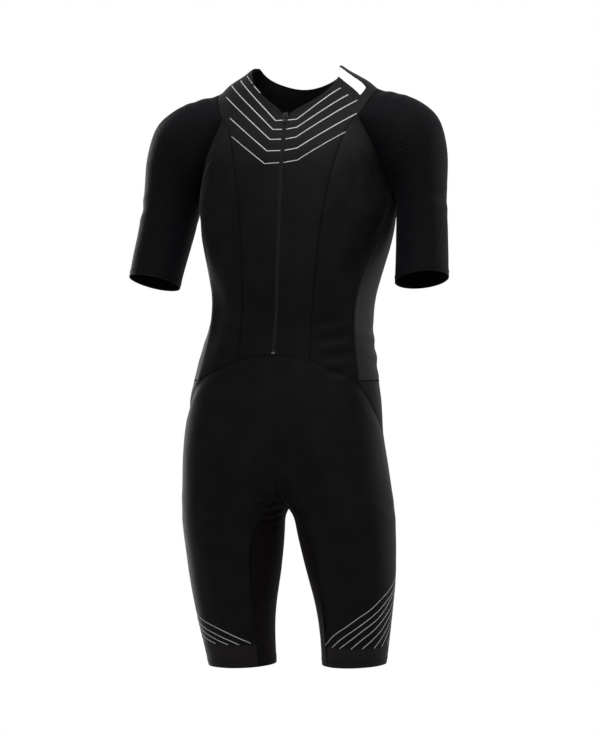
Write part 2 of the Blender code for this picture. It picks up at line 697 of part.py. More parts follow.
def build_label():
    """The bare label on the left shoulder, lifted off the faces of the front panel."""
    panel = bpy.data.objects["front_centre_left"].data
    points = [vert.co.copy() for vert in panel.vertices]
    tree = BVHTree.FromPolygons(points, [list(face.vertices) for face in panel.polygons])
    long_steps, short_steps = LABEL_STEPS
    upper = np.linspace(LABEL_NECK_UPPER, LABEL_ARM_UPPER, long_steps + 1)
    lower = np.linspace(LABEL_NECK_LOWER, LABEL_ARM_LOWER, long_steps + 1)
    rows = ruled([tuple(p) for p in upper], [tuple(p) for p in lower], short_steps)
    lifted = []
    for row in on_form(rows, 1):
        hits = [tree.find_nearest(point * MM) for point in row]
        lifted.append([(hit + normal * (LABEL_LIFT + LABEL_THICKNESS) * MM) / MM for hit, normal, *_ in hits])
    cloth("shoulder_label", [lifted], "label_cloth", wall=LABEL_THICKNESS)


def main():
    for old in list(bpy.data.objects):
        bpy.data.objects.remove(old)
    for name in (SUIT_NAME, "helpers"):
        bpy.context.scene.collection.children.link(bpy.data.collections.new(name))
    upper = front_places()
    lower = shorts_places(upper)
    build_fronts(upper)
    build_back(upper)
    build_sleeves()
    build_shorts(upper, lower)
    build_zip(upper)
    build_label()


main()
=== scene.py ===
import heapq
from math import atan2, cos, pi, radians, sin, sqrt

import bmesh
import bpy
import numpy as np
from mathutils import Matrix, Vector, noise
from mathutils.bvhtree import BVHTree
from mathutils.kdtree import KDTree


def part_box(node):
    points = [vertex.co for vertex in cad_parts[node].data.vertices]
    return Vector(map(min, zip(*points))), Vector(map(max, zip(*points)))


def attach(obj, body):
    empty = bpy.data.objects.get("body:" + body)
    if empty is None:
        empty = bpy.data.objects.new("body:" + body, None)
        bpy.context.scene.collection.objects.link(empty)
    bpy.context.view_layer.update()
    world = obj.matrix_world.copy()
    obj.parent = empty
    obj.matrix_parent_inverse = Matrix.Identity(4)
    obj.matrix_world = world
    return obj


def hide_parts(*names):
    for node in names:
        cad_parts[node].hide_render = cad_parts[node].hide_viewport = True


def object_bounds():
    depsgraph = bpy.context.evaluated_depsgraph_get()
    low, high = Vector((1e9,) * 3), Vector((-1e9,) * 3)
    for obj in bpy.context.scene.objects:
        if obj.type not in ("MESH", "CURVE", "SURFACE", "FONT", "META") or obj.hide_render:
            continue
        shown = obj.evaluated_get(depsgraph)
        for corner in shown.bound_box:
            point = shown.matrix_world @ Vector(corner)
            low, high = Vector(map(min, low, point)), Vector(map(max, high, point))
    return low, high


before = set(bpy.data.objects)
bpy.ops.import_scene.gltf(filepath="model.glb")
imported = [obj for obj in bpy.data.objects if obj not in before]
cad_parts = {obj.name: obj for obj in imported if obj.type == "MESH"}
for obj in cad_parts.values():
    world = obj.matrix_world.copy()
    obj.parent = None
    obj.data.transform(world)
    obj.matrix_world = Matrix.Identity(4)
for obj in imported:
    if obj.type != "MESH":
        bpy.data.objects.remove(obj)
cadLow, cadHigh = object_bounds()
suitBody = "suit"
mm = 0.001
print("frame loaded:", len(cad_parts), "nodes")

# the suit's panels: which cloth each is cut from
panels = {
    "front_centre_left": "main_cloth",
    "front_centre_right": "main_cloth",
    "front_side_left": "main_cloth",
    "front_side_right": "main_cloth",
    "side_panel_left": "flank_cloth",
    "side_panel_right": "flank_cloth",
    "back_panel": "main_cloth",
    "sleeve_left": "sleeve_cloth",
    "sleeve_right": "sleeve_cloth",
    "shorts_front": "main_cloth",
    "shorts_back_left": "main_cloth",
    "shorts_back_right": "main_cloth",
    "inner_leg_left": "inner_leg_cloth",
    "inner_leg_right": "inner_leg_cloth",
}
panelNames = list(panels)

build = {
    "weldReach": 1.9 * mm,  # how far apart two panels' edges may lie and still be sewn together
    "splitReach": 2.6 * mm,
    "rimWidth": 1.3 * mm,
    "shortEdge": 1.2 * mm,  # an open edge shorter than this closes up, at the shoulders only
    "shortAbove": -0.1,
    "rimAngle": 55,  # the wall's rim meets its faces more sharply than this
    "seamFirm": 0.45,  # keeps the rounding from pulling a seam to and fro
    "levels": 3,
    "seamRounds": 3,
    "shoulderRounds": 3,
    "shoulderLow": -0.075,
    "shoulderOut": 0.085,
    "mostBack": 2.2 * mm,
    "keepSize": (0.9, 0.5),  # how much of what the rounding takes off is put back, round by round
    "wall": 0.8 * mm,
    "hemDepth": 11 * mm,  # turned hem at neck, cuffs and leg openings
    "hemLift": 0.3 * mm,
    "seamDip": 0.45 * mm,
}


# how far the neckline moves from the panels' edges, and where that fades out
neckline = {
    "reach": 28 * mm,
    "low": -0.07,
    "lowFade": 0.022,
    "high": 0.012,
    "highFade": 0.014,
    "rimLow": -0.072,
    "rimBack": 0.03,
    "zipClear": 0.006,
    "right": (9 * mm, 0, 4 * mm),
    "left": (4 * mm, 0, -1 * mm),
}
# the middles of the tubes that the cloth wraps: x at the wearer's left, and y
middles = {"sleeve": (0.212, -0.02), "leg": (0.098, -0.012), "torso": (0, -0.012), "legsBelow": -0.68}


def insidePoint(name, point):
    # a point inside the tube that the panel wraps, level with the given point
    if name.startswith("sleeve"):
        x, y = middles["sleeve"]
        return Vector((x if name.endswith("left") else -x, y, point.z))
    onLeg = name.startswith("inner_leg") or point.z < middles["legsBelow"]
    x, y = middles["leg" if onLeg else "torso"]
    return Vector((x if point.x > 0 else -x, y, point.z))


def outerFaces(name):
    # the outer surface of a cloth node, as a bmesh without its inner wall and rim
    shape = bmesh.new()
    shape.from_mesh(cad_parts[name].data)
    bmesh.ops.remove_doubles(shape, verts=shape.verts, dist=1e-6)
    shape.normal_update()
    limit = radians(build["rimAngle"])
    seen = set()
    groups = []
    for start in shape.faces:
        if start in seen:
            continue
        seen.add(start)
        group = [start]
        for face in group:
            for edge in face.edges:
                if len(edge.link_faces) != 2 or edge.calc_face_angle(0) > limit:
                    continue
                for other in edge.link_faces:
                    if other not in seen:
                        seen.add(other)
                        group.append(other)
        groups.append(group)
    best = None
    for group in groups:
        reach = 0.0
        for face in group:
            middle = face.calc_center_median()
            reach += face.normal.dot((middle - insidePoint(name, middle)).normalized()) * face.calc_area()
        if best is None or reach > best[0]:
            best = (reach, group)
    keep = set(best[1])
    bmesh.ops.delete(shape, geom=[f for f in shape.faces if f not in keep], context="FACES")
    # what is left of the rim is no wider than the wall
    rim = []
    for face in shape.faces:
        longest = max(e.calc_length() for e in face.edges)
        if 2 * face.calc_area() / longest < build["rimWidth"] and sum(e.is_boundary for e in face.edges) > 1:
            rim.append(face)
    bmesh.ops.delete(shape, geom=rim, context="FACES")
    bmesh.ops.join_triangles(
        shape,
        faces=shape.faces,
        angle_face_threshold=radians(50),
        angle_shape_threshold=radians(80),
        topology_influence=1.4,
    )
    return shape


def sewTogether():
    # one welded surface of all the panels, with each face's panel kept as its material index
    whole = bmesh.new()
    for number, name in enumerate(panelNames):
        part = outerFaces(name)
        for face in part.faces:
            face.material_index = number
        holder = bpy.data.meshes.new("part")
        part.to_mesh(holder)
        part.free()
        whole.from_mesh(holder)
        bpy.data.meshes.remove(holder)
    return whole


def sewPoints(shape):
    # open points of different panels that lie together become one
    loose = [v for v in shape.verts if v.is_boundary]
    groups = {v: [v] for v in loose}
    pairs = []
    for i, vert in enumerate(loose):
        for other in loose[i + 1 :]:
            gap = (other.co - vert.co).length
            if gap < build["weldReach"]:
                pairs.append((gap, i, vert, other))
    for _, _, vert, other in sorted(pairs, key=lambda p: p[:2]):
        if groups[vert] is groups[other]:
            continue
        mine = {f.material_index for v in groups[vert] for f in v.link_faces}
        theirs = {f.material_index for v in groups[other] for f in v.link_faces}
        if mine & theirs:
            continue
        joined = groups[vert] + groups[other]
        for member in joined:
            groups[member] = joined
    for group in {id(g): g for g in groups.values() if len(g) > 1}.values():
        middle = sum((v.co for v in group), Vector()) / len(group)
        for vert in group:
            vert.co = middle
    sewn = {v: group[0] for v, group in groups.items() if v is not group[0] and v != group[0]}
    bmesh.ops.weld_verts(shape, targetmap=sewn)


def sewBetweenPoints(shape):
    # a panel with fewer points on a seam gets one where its neighbour has one
    while True:
        for vert in [v for v in shape.verts if v.is_boundary]:
            panel = vert.link_faces[0].material_index
            found = None
            for edge in shape.edges:
                if not edge.is_boundary or vert in edge.verts or edge.link_faces[0].material_index == panel:
                    continue
                start, end = edge.verts[0].co, edge.verts[1].co
                along = end - start
                share = (vert.co - start).dot(along) / along.length_squared
                if 0.04 < share < 0.96 and (start + along * share - vert.co).length < build["splitReach"]:
                    found = (edge, share)
                    break
            if found:
                made = bmesh.utils.edge_split(found[0], found[0].verts[0], found[1])[1]
                bmesh.ops.weld_verts(shape, targetmap={made: vert})
                break
        else:
            return


def closeGaps(shape):
    # a little gap left in a seam gets a face of the panel beside it
    short = [e for e in shape.edges if e.is_boundary and e.calc_length() < build["shortEdge"]]
    short = [e for e in short if e.verts[0].co.z > build["shortAbove"]]
    bmesh.ops.collapse(shape, edges=short)
    made = bmesh.ops.holes_fill(shape, edges=[e for e in shape.edges if e.is_boundary], sides=8)["faces"]
    for face in made:
        beside = [f for e in face.edges for f in e.link_faces if f is not face and f not in made]
        face.material_index = beside[0].material_index
        face.smooth = True


def panelsOf(edge):
    return {face.material_index for face in edge.link_faces}


def straightenSeams(shape, rounds):
    # takes the small steps out of each seam, leaving the places where three panels meet
    for _ in range(rounds):
        moved = {}
        for vert in shape.verts:
            beside = [e.other_vert(vert) for e in vert.link_edges if len(panelsOf(e)) > 1]
            if len(beside) == 2 and not vert.is_boundary:
                moved[vert] = vert.co * 0.5 + (beside[0].co + beside[1].co) * 0.25
        for vert, place in moved.items():
            vert.co = place


whole = sewTogether()
sewPoints(whole)
sewBetweenPoints(whole)
sewPoints(whole)
closeGaps(whole)
straightenSeams(whole, build["seamRounds"])
shoulders = [v for v in whole.verts if v.co.z > build["shoulderLow"] and not v.is_boundary]
shoulders = [v for v in shoulders if abs(v.co.x) > build["shoulderOut"]]
for _ in range(build["shoulderRounds"]):
    bmesh.ops.smooth_vert(
        whole, verts=shoulders, factor=0.4, use_axis_x=True, use_axis_y=True, use_axis_z=True
    )


def faded(value, start, length):
    # 0 up to start, then rising to 1 over the length
    return min(1, max(0, (value - start) / length))


neckRim = [v.co.copy() for v in whole.verts if v.is_boundary and v.co.z > neckline["rimLow"]]
neckRim = [place for place in neckRim if place.y < neckline["rimBack"] and abs(place.x) > neckline["zipClear"]]
for vert in whole.verts:
    # the neckline lies a little to the wearer's left of the middle
    near = min((vert.co - place).length for place in neckRim)
    share = max(0, 1 - near / neckline["reach"])
    share *= faded(vert.co.z, neckline["low"], neckline["lowFade"])
    share *= faded(-vert.co.z, -neckline["high"], neckline["highFade"])
    if share > 0 and vert.co.y < neckline["rimBack"]:
        vert.co += Vector(neckline["right" if vert.co.x < 0 else "left"]) * share
whole.normal_update()


def shortestPath(start, end, allowed):
    # edges of the shortest way from one vertex to another over the allowed edges
    best = {start: (0.0, None)}
    waiting = [(0.0, 0, start)]
    tick = 0
    while waiting:
        cost, _, vert = heapq.heappop(waiting)
        if vert is end:
            break
        for edge in vert.link_edges:
            if not allowed(edge):
                continue
            other = edge.other_vert(vert)
            total = cost + edge.calc_length()
            if other not in best or total < best[other][0]:
                best[other] = (total, edge)
                tick += 1
                heapq.heappush(waiting, (total, tick, other))
    path = []
    vert = end
    while best[vert][1] is not None:
        path.append(best[vert][1])
        vert = best[vert][1].other_vert(vert)
    return path


shortsNumber = panelNames.index("shorts_front")
firmness = whole.edges.layers.float.new("crease_edge")
for edge in whole.edges:
    edge.seam = len(panelsOf(edge)) > 1
    edge[firmness] = build["seamFirm"] if edge.seam else 0
for word, side in (("left", 1), ("right", -1)):
    # the sleeve's own seam, under the arm from the armhole to the cuff
    number = panelNames.index("sleeve_" + word)
    rim = [v for e in whole.edges if e.is_boundary and panelsOf(e) == {number} for v in e.verts]
    rim = [v for v in rim if v.co.z < -0.25]
    armhole = [v for e in whole.edges if number in panelsOf(e) and len(panelsOf(e)) > 1 for v in e.verts]
    cuff = min(rim, key=lambda v: side * v.co.x)
    underarm = min(armhole, key=lambda v: v.co.z)
    for edge in shortestPath(underarm, cuff, lambda e: panelsOf(e) == {number} and not e.is_boundary):
        edge.seam = True
# the middle of the shorts front is opened near the crotch, only so that it lies flat
middle = [v for v in whole.verts if any(f.material_index == shortsNumber for f in v.link_faces)]
crotch = min(middle, key=lambda v: abs(v.co.x + 0.012) + abs(v.co.z - -0.692))
above = min(middle, key=lambda v: abs(v.co.x + 0.016) + abs(v.co.z + 0.57))
for edge in shortestPath(crotch, above, lambda e: panelsOf(e) == {shortsNumber}):
    edge.seam = True

coarseMesh = bpy.data.meshes.new("sewnSuit")
whole.to_mesh(coarseMesh)
whole.free()
coarse = bpy.data.objects.new("sewnSuit", coarseMesh)
bpy.context.scene.collection.objects.link(coarse)
coarseMesh.shade_smooth()

# lay the panels flat, which gives the weave its direction and each panel its cut
bpy.context.view_layer.objects.active = coarse
coarse.select_set(True)
bpy.ops.object.mode_set(mode="EDIT")
bpy.ops.mesh.select_all(action="SELECT")
bpy.ops.uv.unwrap(method="MINIMUM_STRETCH", iterations=40, margin=0.02)
bpy.ops.object.mode_set(mode="OBJECT")
coarseMesh.uv_layers[0].name = "cut"


def straightenCuts(mesh):
    # each flat panel to real size in metres, with its length up the suit
    loopCount = len(mesh.loops)
    flat = np.empty(loopCount * 2, np.float32)
    layer = mesh.uv_layers["cut"]
    layer.uv.foreach_get("vector", flat)
    flat = flat.reshape(-1, 2).astype(float)
    points = np.array([v.co for v in mesh.vertices])
    corner = np.empty(loopCount, np.int32)
    mesh.loops.foreach_get("vertex_index", corner)
    mesh.calc_loop_triangles()
    triangles = np.array([t.loops for t in mesh.loop_triangles])
    owner = np.array([mesh.polygons[t.polygon_index].material_index for t in mesh.loop_triangles])
    sizes = {}
    for number, name in enumerate(panelNames):
        mine = triangles[owner == number]
        loops = np.unique(mine)
        a, b, c = (points[corner[mine[:, i]]] for i in range(3))
        area = np.linalg.norm(np.cross(b - a, c - a), axis=1).sum() / 2
        p, q, r = (flat[mine[:, i]] for i in range(3))
        cutArea = abs((q - p)[:, 0] * (r - p)[:, 1] - (q - p)[:, 1] * (r - p)[:, 0]).sum() / 2
        grow = sqrt(area / cutArea)
        uv = flat[loops] * grow
        heights = points[corner[loops]][:, 2]
        hanging = heights < -0.14
        ones = np.column_stack([uv, np.ones(len(uv))])
        slope = np.linalg.lstsq(ones[hanging], heights[hanging], rcond=None)[0]
        turn = atan2(slope[0], slope[1])
        x, y = uv[:, 0], uv[:, 1]
        turned = np.column_stack([x * cos(turn) - y * sin(turn), x * sin(turn) + y * cos(turn)])
        turned -= turned.min(0)
        flat[loops] = turned
        sizes[name] = (*turned.max(0), area)
    layer.uv.foreach_set("vector", flat.astype(np.float32).ravel())
    return sizes


cutSizes = straightenCuts(coarseMesh)
for name, (wide, tall, area) in cutSizes.items():
    print(f"cut {name}: {wide:.3f} x {tall:.3f} m, {area:.4f} m2, share {area / wide / tall:.2f}")

rounding = coarse.modifiers.new("Rounding", "SUBSURF")
rounding.levels = build["levels"]
rounding.render_levels = build["levels"]
rounding.boundary_smooth = "PRESERVE_CORNERS"


def smoothed():
    bpy.context.view_layer.update()
    return bpy.data.meshes.new_from_object(coarse.evaluated_get(bpy.context.evaluated_depsgraph_get()))


wanted = np.array([v.co for v in coarseMesh.vertices])
for share in build["keepSize"]:
    # rounding draws the cloth in, so the coarse points move out by as much
    trial = smoothed()
    got = np.array([trial.vertices[i].co for i in range(len(wanted))])
    held = np.array([v.co for v in coarseMesh.vertices])
    lack = wanted - got
    far = np.linalg.norm(lack, axis=1)
    lack *= (np.minimum(far, build["mostBack"]) / np.maximum(far, 1e-9))[:, None]
    coarseMesh.vertices.foreach_set("co", (held + share * lack).astype(np.float32).ravel())
    coarseMesh.update()
    bpy.data.meshes.remove(trial)
    print(f"rounding drew the cloth in by {far.mean() / mm:.2f} mm, at most {far.max() / mm:.2f} mm")
fineMesh = smoothed()
bpy.data.objects.remove(coarse)
print("smoothed suit:", len(fineMesh.polygons), "faces")


def vertexArrays(mesh):
    count = len(mesh.vertices)
    points = np.empty(count * 3, np.float32)
    mesh.vertices.foreach_get("co", points)
    normals = np.empty(count * 3, np.float32)
    mesh.vertices.foreach_get("normal", normals)
    return points.reshape(-1, 3).astype(float), normals.reshape(-1, 3).astype(float)


def surfaceTree(mesh):
    return BVHTree.FromPolygons([v.co for v in mesh.vertices], [p.vertices for p in mesh.polygons])


points, normals = vertexArrays(fineMesh)
edgeEnds = np.empty(len(fineMesh.edges) * 2, np.int32)
fineMesh.edges.foreach_get("vertices", edgeEnds)
edgeEnds = edgeEnds.reshape(-1, 2)
loopEdges = np.empty(len(fineMesh.loops), np.int32)
fineMesh.loops.foreach_get("edge_index", loopEdges)
owners = np.empty(len(fineMesh.polygons), np.int32)
fineMesh.polygons.foreach_get("material_index", owners)
loopTotals = np.empty(len(fineMesh.polygons), np.int32)
fineMesh.polygons.foreach_get("loop_total", loopTotals)
loopOwners = np.repeat(owners, loopTotals)
uses = np.bincount(loopEdges, minlength=len(edgeEnds))
highest = np.full(len(edgeEnds), -1)
np.maximum.at(highest, loopEdges, loopOwners)
lowest = np.full(len(edgeEnds), 99)
np.minimum.at(lowest, loopEdges, loopOwners)
rimEdges = edgeEnds[uses == 1]
seamEdges = edgeEnds[(uses == 2) & (highest != lowest)]
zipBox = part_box("zip_chain")
rimPoints = np.unique(rimEdges)
zipEdge = {"wide": 0.024, "front": -0.06, "above": 0.001, "beside": 0.002}
x, y, z = points[rimPoints].T
onZip = (abs(x - zipBox[0].x) < zipEdge["wide"]) & (y < zipEdge["front"]) & (z < zipBox[1].z + zipEdge["above"])
onZip &= (x > zipBox[0].x - zipEdge["beside"]) & (x < zipBox[1].x + zipEdge["beside"])
zipPoints = rimPoints[onZip]
hemPoints = rimPoints[~onZip]
print("zip edge points", len(zipPoints), "hem points", len(hemPoints), "seam edges", len(seamEdges))


def nearness(reachOf, reach):
    # distance from every point of the suit to the nearest of the given ones, no further than reach
    tree = KDTree(len(reachOf))
    for i, index in enumerate(reachOf):
        tree.insert(points[index], i)
    tree.balance()
    return np.array([min(tree.find(point)[2], reach) for point in points])


def smoothStep(values):
    values = np.clip(values, 0, 1)
    return values * values * (3 - 2 * values)


toHem = nearness(hemPoints, 0.03)
toZip = nearness(zipPoints, 0.02)
toSeam = nearness(np.unique(seamEdges), 0.01)

# how the cloth lies: each crease is a soft trough with a ridge on both sides, in millimetres
# front and back creases are (x, z), left and right ones (y, z), top ones (x, y)
# columns: seen from, path, width, depth
creases = [
    # the wearer's left side at the waist, and the right side a little less
    ("front", [(56, -414), (84, -410), (110, -403)], 7, 1.7),
    ("front", [(50, -440), (82, -438), (112, -430)], 8, 2.0),
    ("front", [(62, -466), (88, -466), (114, -459)], 7, 1.8),
    ("front", [(72, -490), (94, -492), (114, -486)], 6, 1.4),
    ("front", [(-48, -436), (-78, -434), (-104, -424)], 8, 1.3),
    ("front", [(-58, -470), (-86, -470), (-108, -461)], 8, 1.2),
    # the inside of both thighs
    ("front", [(-50, -702), (-32, -705), (-14, -701)], 4.5, 1.5),
    ("front", [(-48, -717), (-30, -719), (-14, -714)], 4, 1.6),
    ("front", [(-50, -731), (-34, -733), (-18, -728)], 4, 1.4),
    ("front", [(-48, -745), (-34, -747), (-22, -743)], 4, 1.1),
    ("front", [(20, -712), (36, -716), (54, -713)], 5, 1.0),
    ("front", [(24, -734), (40, -737), (56, -733)], 5, 0.9),
    # the middle of the shorts above the crotch
    ("front", [(-10, -656), (-11, -670), (-12, -688)], 3.5, 1.3),
    ("front", [(-70, -640), (-52, -662), (-30, -682)], 7, 0.9),
    ("front", [(52, -644), (34, -664), (14, -682)], 7, 0.9),
    # under the arms
    ("front", [(104, -146), (116, -170), (122, -200)], 6, 1.5),
    ("front", [(122, -136), (138, -158), (148, -186)], 6, 1.6),
    ("front", [(-108, -146), (-120, -170), (-128, -200)], 6, 1.5),
    ("front", [(-128, -136), (-146, -158), (-158, -186)], 6, 1.6),
    # sleeves: slack across the arm
    ("front", [(150, -196), (172, -204), (196, -200)], 8, 1.2),
    ("front", [(-160, -196), (-184, -204), (-208, -200)], 8, 1.2),
    ("front", [(176, -262), (198, -268), (220, -262)], 9, 0.9),
    ("front", [(-186, -262), (-208, -268), (-232, -262)], 9, 0.9),
    ("top", [(130, -34), (143, -14), (147, 12)], 6, 1.2),
    ("top", [(-132, -34), (-146, -14), (-150, 12)], 6, 1.2),
    ("top", [(160, -40), (170, -18), (172, 8)], 6, 0.9),
    ("top", [(-164, -40), (-175, -18), (-178, 8)], 6, 0.9),
    # hidden sides, in the same way
    ("back", [(-74, -398), (-36, -404), (0, -400)], 8, 1.4),
    ("back", [(-30, -426), (12, -430), (60, -422)], 8, 1.6),
    ("back", [(-80, -452), (-40, -456), (4, -450)], 8, 1.5),
    ("back", [(-16, -478), (30, -482), (76, -474)], 8, 1.3),
    ("back", [(-92, -130), (-76, -158), (-70, -190)], 8, 1.2),
    ("back", [(92, -130), (76, -158), (70, -190)], 8, 1.2),
    ("back", [(20, -688), (58, -700), (98, -692)], 7, 1.6),
    ("back", [(-24, -688), (-62, -700), (-102, -692)], 7, 1.6),
    ("back", [(34, -716), (66, -724), (96, -716)], 7, 1.1),
    ("back", [(-38, -716), (-70, -724), (-100, -716)], 7, 1.1),
    ("back", [(60, -820), (92, -826), (124, -818)], 9, 0.8),
    ("back", [(-60, -832), (-90, -838), (-122, -830)], 9, 0.8),
    ("back", [(160, -214), (186, -222), (210, -216)], 8, 1.1),
    ("back", [(-164, -214), (-192, -222), (-218, -216)], 8, 1.1),
    ("left", [(-66, -206), (-36, -213), (0, -208)], 9, 2.2),
    ("right", [(-66, -218), (-34, -222), (4, -214)], 9, 1.6),
    ("left", [(-50, -420), (-14, -426), (26, -418)], 8, 1.5),
    ("left", [(-56, -450), (-16, -455), (24, -446)], 8, 1.5),
    ("left", [(-50, -480), (-14, -484), (22, -476)], 8, 1.2),
    ("right", [(-50, -424), (-14, -430), (26, -422)], 8, 1.3),
    ("right", [(-56, -458), (-16, -463), (24, -454)], 8, 1.3),
    ("left", [(-64, -700), (-30, -716), (8, -712)], 9, 0.8),
    ("right", [(-64, -712), (-30, -726), (8, -720)], 9, 0.8),
]
lie = {
    "slow": 0.55 * mm,
    "slowPitch": 0.07,
    "quick": 0.22 * mm,
    "quickPitch": 0.022,
    "pucker": 0.3 * mm,
    "puckerPitch": 0.0065,
    "puckerReach": 4.5 * mm,
    "seamReach": 1.6 * mm,
    "hemStep": 1.5 * mm,
    "hemFade": 12 * mm,
    "hemShare": 0.35,  # how much of a crease is left at a hem
    "zipFade": 6 * mm,
}
# the seat pad's outline, as it shows on the front of the shorts
padOutline = {
    "path": [(-43, -668), (-43, -650), (-42, -624), (-35, -594), (-21, -588)]
    + [(17, -592), (25, -615), (27, -650), (28, -668)],
    "groove": (2.6 * mm, 0.55 * mm, 0.3),  # width, depth and the share that its ridges rise
}
castFrom = {
    "front": lambda a, b: (Vector((a, -1, b)), Vector((0, 1, 0))),
    "back": lambda a, b: (Vector((a, 1, b)), Vector((0, -1, 0))),
    "left": lambda a, b: (Vector((1, a, b)), Vector((-1, 0, 0))),
    "right": lambda a, b: (Vector((-1, a, b)), Vector((1, 0, 0))),
    "top": lambda a, b: (Vector((a, b, 1)), Vector((0, 0, -1))),
}


def alongPath(path, step):
    # points at even steps along a line of straight pieces, its corners kept
    made = [Vector(path[0])]
    for start, end in zip(path, path[1:]):
        start, end = Vector(start), Vector(end)
        count = max(1, round((end - start).length / step))
        made += [start.lerp(end, i / count) for i in range(1, count + 1)]
    return made


def onSurface(tree, seen, path, step=4):
    # the path's points on the cloth, with the cloth's normal there
    found = []
    for a, b in alongPath(path, step):
        start, way = castFrom[seen](a * mm, b * mm)
        place, normal, _, _ = tree.ray_cast(start, way)
        if place is None or normal.dot(way) > -0.05:
            continue
        if found and (place - found[-1][0]).length > 0.02:
            break
        found.append((place, normal))
    return found


def pressCrease(found, width, depth, ridges=0.45):
    # what one crease adds to every point's shift along its normal
    line = np.array([place for place, _ in found])
    facing = np.array([normal for _, normal in found])
    lengths = np.linalg.norm(np.diff(line, axis=0), axis=1)
    travelled = np.concatenate([[0], np.cumsum(lengths)])
    reach = 4 * width
    low, high = line.min(0) - reach, line.max(0) + reach
    near = np.nonzero(((points > low) & (points < high)).all(1))[0]
    mine = points[near]
    best = np.full(len(near), 9.0)
    share = np.zeros(len(near))
    turned = np.zeros(len(near))
    for i in range(len(line) - 1):
        along = line[i + 1] - line[i]
        t = np.clip(((mine - line[i]) @ along) / (along @ along), 0, 1)
        gap = np.linalg.norm(mine - line[i] - t[:, None] * along, axis=1)
        closer = gap < best
        best = np.where(closer, gap, best)
        share = np.where(closer, (travelled[i] + t * lengths[i]) / travelled[-1], share)
        turned = np.where(closer, normals[near] @ facing[i], turned)
    fade = np.sin(pi * np.clip(share, 0, 1)) ** 0.6 * smoothStep(turned / 0.5)
    press = -np.exp(-((best / width) ** 2)) + ridges * np.exp(-(((best - 1.9 * width) / (0.9 * width)) ** 2))
    added = np.zeros(len(points))
    added[near] = depth * fade * press
    return added


shift = -build["seamDip"] * np.exp(-((toSeam / lie["seamReach"]) ** 2))
shift += build["hemLift"] * smoothStep((build["hemDepth"] - toHem) / lie["hemStep"])
tree = surfaceTree(fineMesh)
for seenFrom, path, width, depth in creases:
    found = onSurface(tree, seenFrom, path)
    if len(found) > 2:
        shift += pressCrease(found, width * mm, depth * mm)
shift += pressCrease(onSurface(tree, "front", padOutline["path"], 3), *padOutline["groove"])


def waves(kind):
    # soft unevenness of one size over the whole suit
    return np.array([noise.noise(Vector(p) / lie[kind + "Pitch"]) * lie[kind] for p in points])


shift += waves("slow") + waves("quick")
shift += waves("pucker") * np.exp(-((toSeam / lie["puckerReach"]) ** 2))
held = smoothStep(toHem / lie["hemFade"])
shift *= smoothStep(toZip / lie["zipFade"]) * (lie["hemShare"] + (1 - lie["hemShare"]) * held)
points += normals * shift[:, None]
fineMesh.vertices.foreach_set("co", points.astype(np.float32).ravel())
fineMesh.update()
# painted shade along the seam dips and the hem edges: how much of it each point takes
edgeShadeShare = fineMesh.attributes.new("edgeShadeShare", "FLOAT", "POINT")
atSeam, atHem = np.exp(-((toSeam / 0.002) ** 2)), np.exp(-((toHem / 0.0015) ** 2))
edgeShadeShare.data.foreach_set("value", np.maximum(atSeam, atHem).astype(np.float32))
points, normals = vertexArrays(fineMesh)
tree = surfaceTree(fineMesh)
print("creases laid:", len(creases))


# materials
def nodesOf(name):
    material = bpy.data.materials.new(name)
    material.use_nodes = True
    return material, material.node_tree, material.node_tree.nodes["Principled BSDF"]


def calc(graph, operation, a, b=0.0):
    node = graph.nodes.new("ShaderNodeMath")
    node.operation = operation
    for socket, value in zip(node.inputs, (a, b)):
        if isinstance(value, (int, float)):
            socket.default_value = value
        else:
            graph.links.new(value, socket)
    return node.outputs[0]


def times(graph, a, b):
    return calc(graph, "MULTIPLY", a, b)


def plus(graph, a, b):
    return calc(graph, "ADD", a, b)


def minus(graph, a, b):
    return calc(graph, "SUBTRACT", a, b)


def blendColours(graph, share, a, b):
    node = graph.nodes.new("ShaderNodeMix")
    node.data_type = "RGBA"
    graph.links.new(share, node.inputs[0])
    for socket, value in ((node.inputs[6], a), (node.inputs[7], b)):
        if isinstance(value, tuple):
            socket.default_value = (*value, 1)
        else:
            graph.links.new(value, socket)
    return node.outputs[2]


def rib(graph, along, pitch, start=0.0):
    # a rounded rib from 0 to 1, once every pitch
    turned = plus(graph, times(graph, along, pi / pitch), start)
    return calc(graph, "ABSOLUTE", calc(graph, "SINE", turned))


def dotRows(graph, across, up, pitch):
    # dots in staggered rows, 1 at their middles
    first = times(graph, rib(graph, across, pitch), rib(graph, up, pitch))
    second = times(graph, rib(graph, across, pitch, pi / 2), rib(graph, up, pitch, pi / 2))
    return calc(graph, "MAXIMUM", first, second)


def between(graph, value, low, high):
    # 0 below low and 1 above high, with a soft step
    node = graph.nodes.new("ShaderNodeMapRange")
    node.interpolation_type = "SMOOTHSTEP"
    graph.links.new(value, node.inputs["Value"])
    node.inputs["From Min"].default_value = low
    node.inputs["From Max"].default_value = high
    return node.outputs["Result"]


def spotOf(graph):
    # a point's place on the suit, whole and as x, y and z
    where = graph.nodes.new("ShaderNodeTexCoord").outputs["Object"]
    split = graph.nodes.new("ShaderNodeSeparateXYZ")
    graph.links.new(where, split.inputs[0])
    return where, split.outputs


def mottle(graph, where, scale, detail=3.0):
    node = graph.nodes.new("ShaderNodeTexNoise")
    graph.links.new(where, node.inputs["Vector"])
    node.inputs["Scale"].default_value = scale
    node.inputs["Detail"].default_value = detail
    return node.outputs["Fac"]


def roughened(graph, shader, pattern, share, start):
    graph.links.new(plus(graph, times(graph, pattern, share), start), shader.inputs["Roughness"])


def raised(graph, shader, pattern, strength, depth):
    # fine relief, its depth in millimetres
    bump = graph.nodes.new("ShaderNodeBump")
    bump.inputs["Strength"].default_value = strength
    bump.inputs["Distance"].default_value = depth * mm
    graph.links.new(pattern, bump.inputs["Height"])
    graph.links.new(bump.outputs["Normal"], shader.inputs["Normal"])


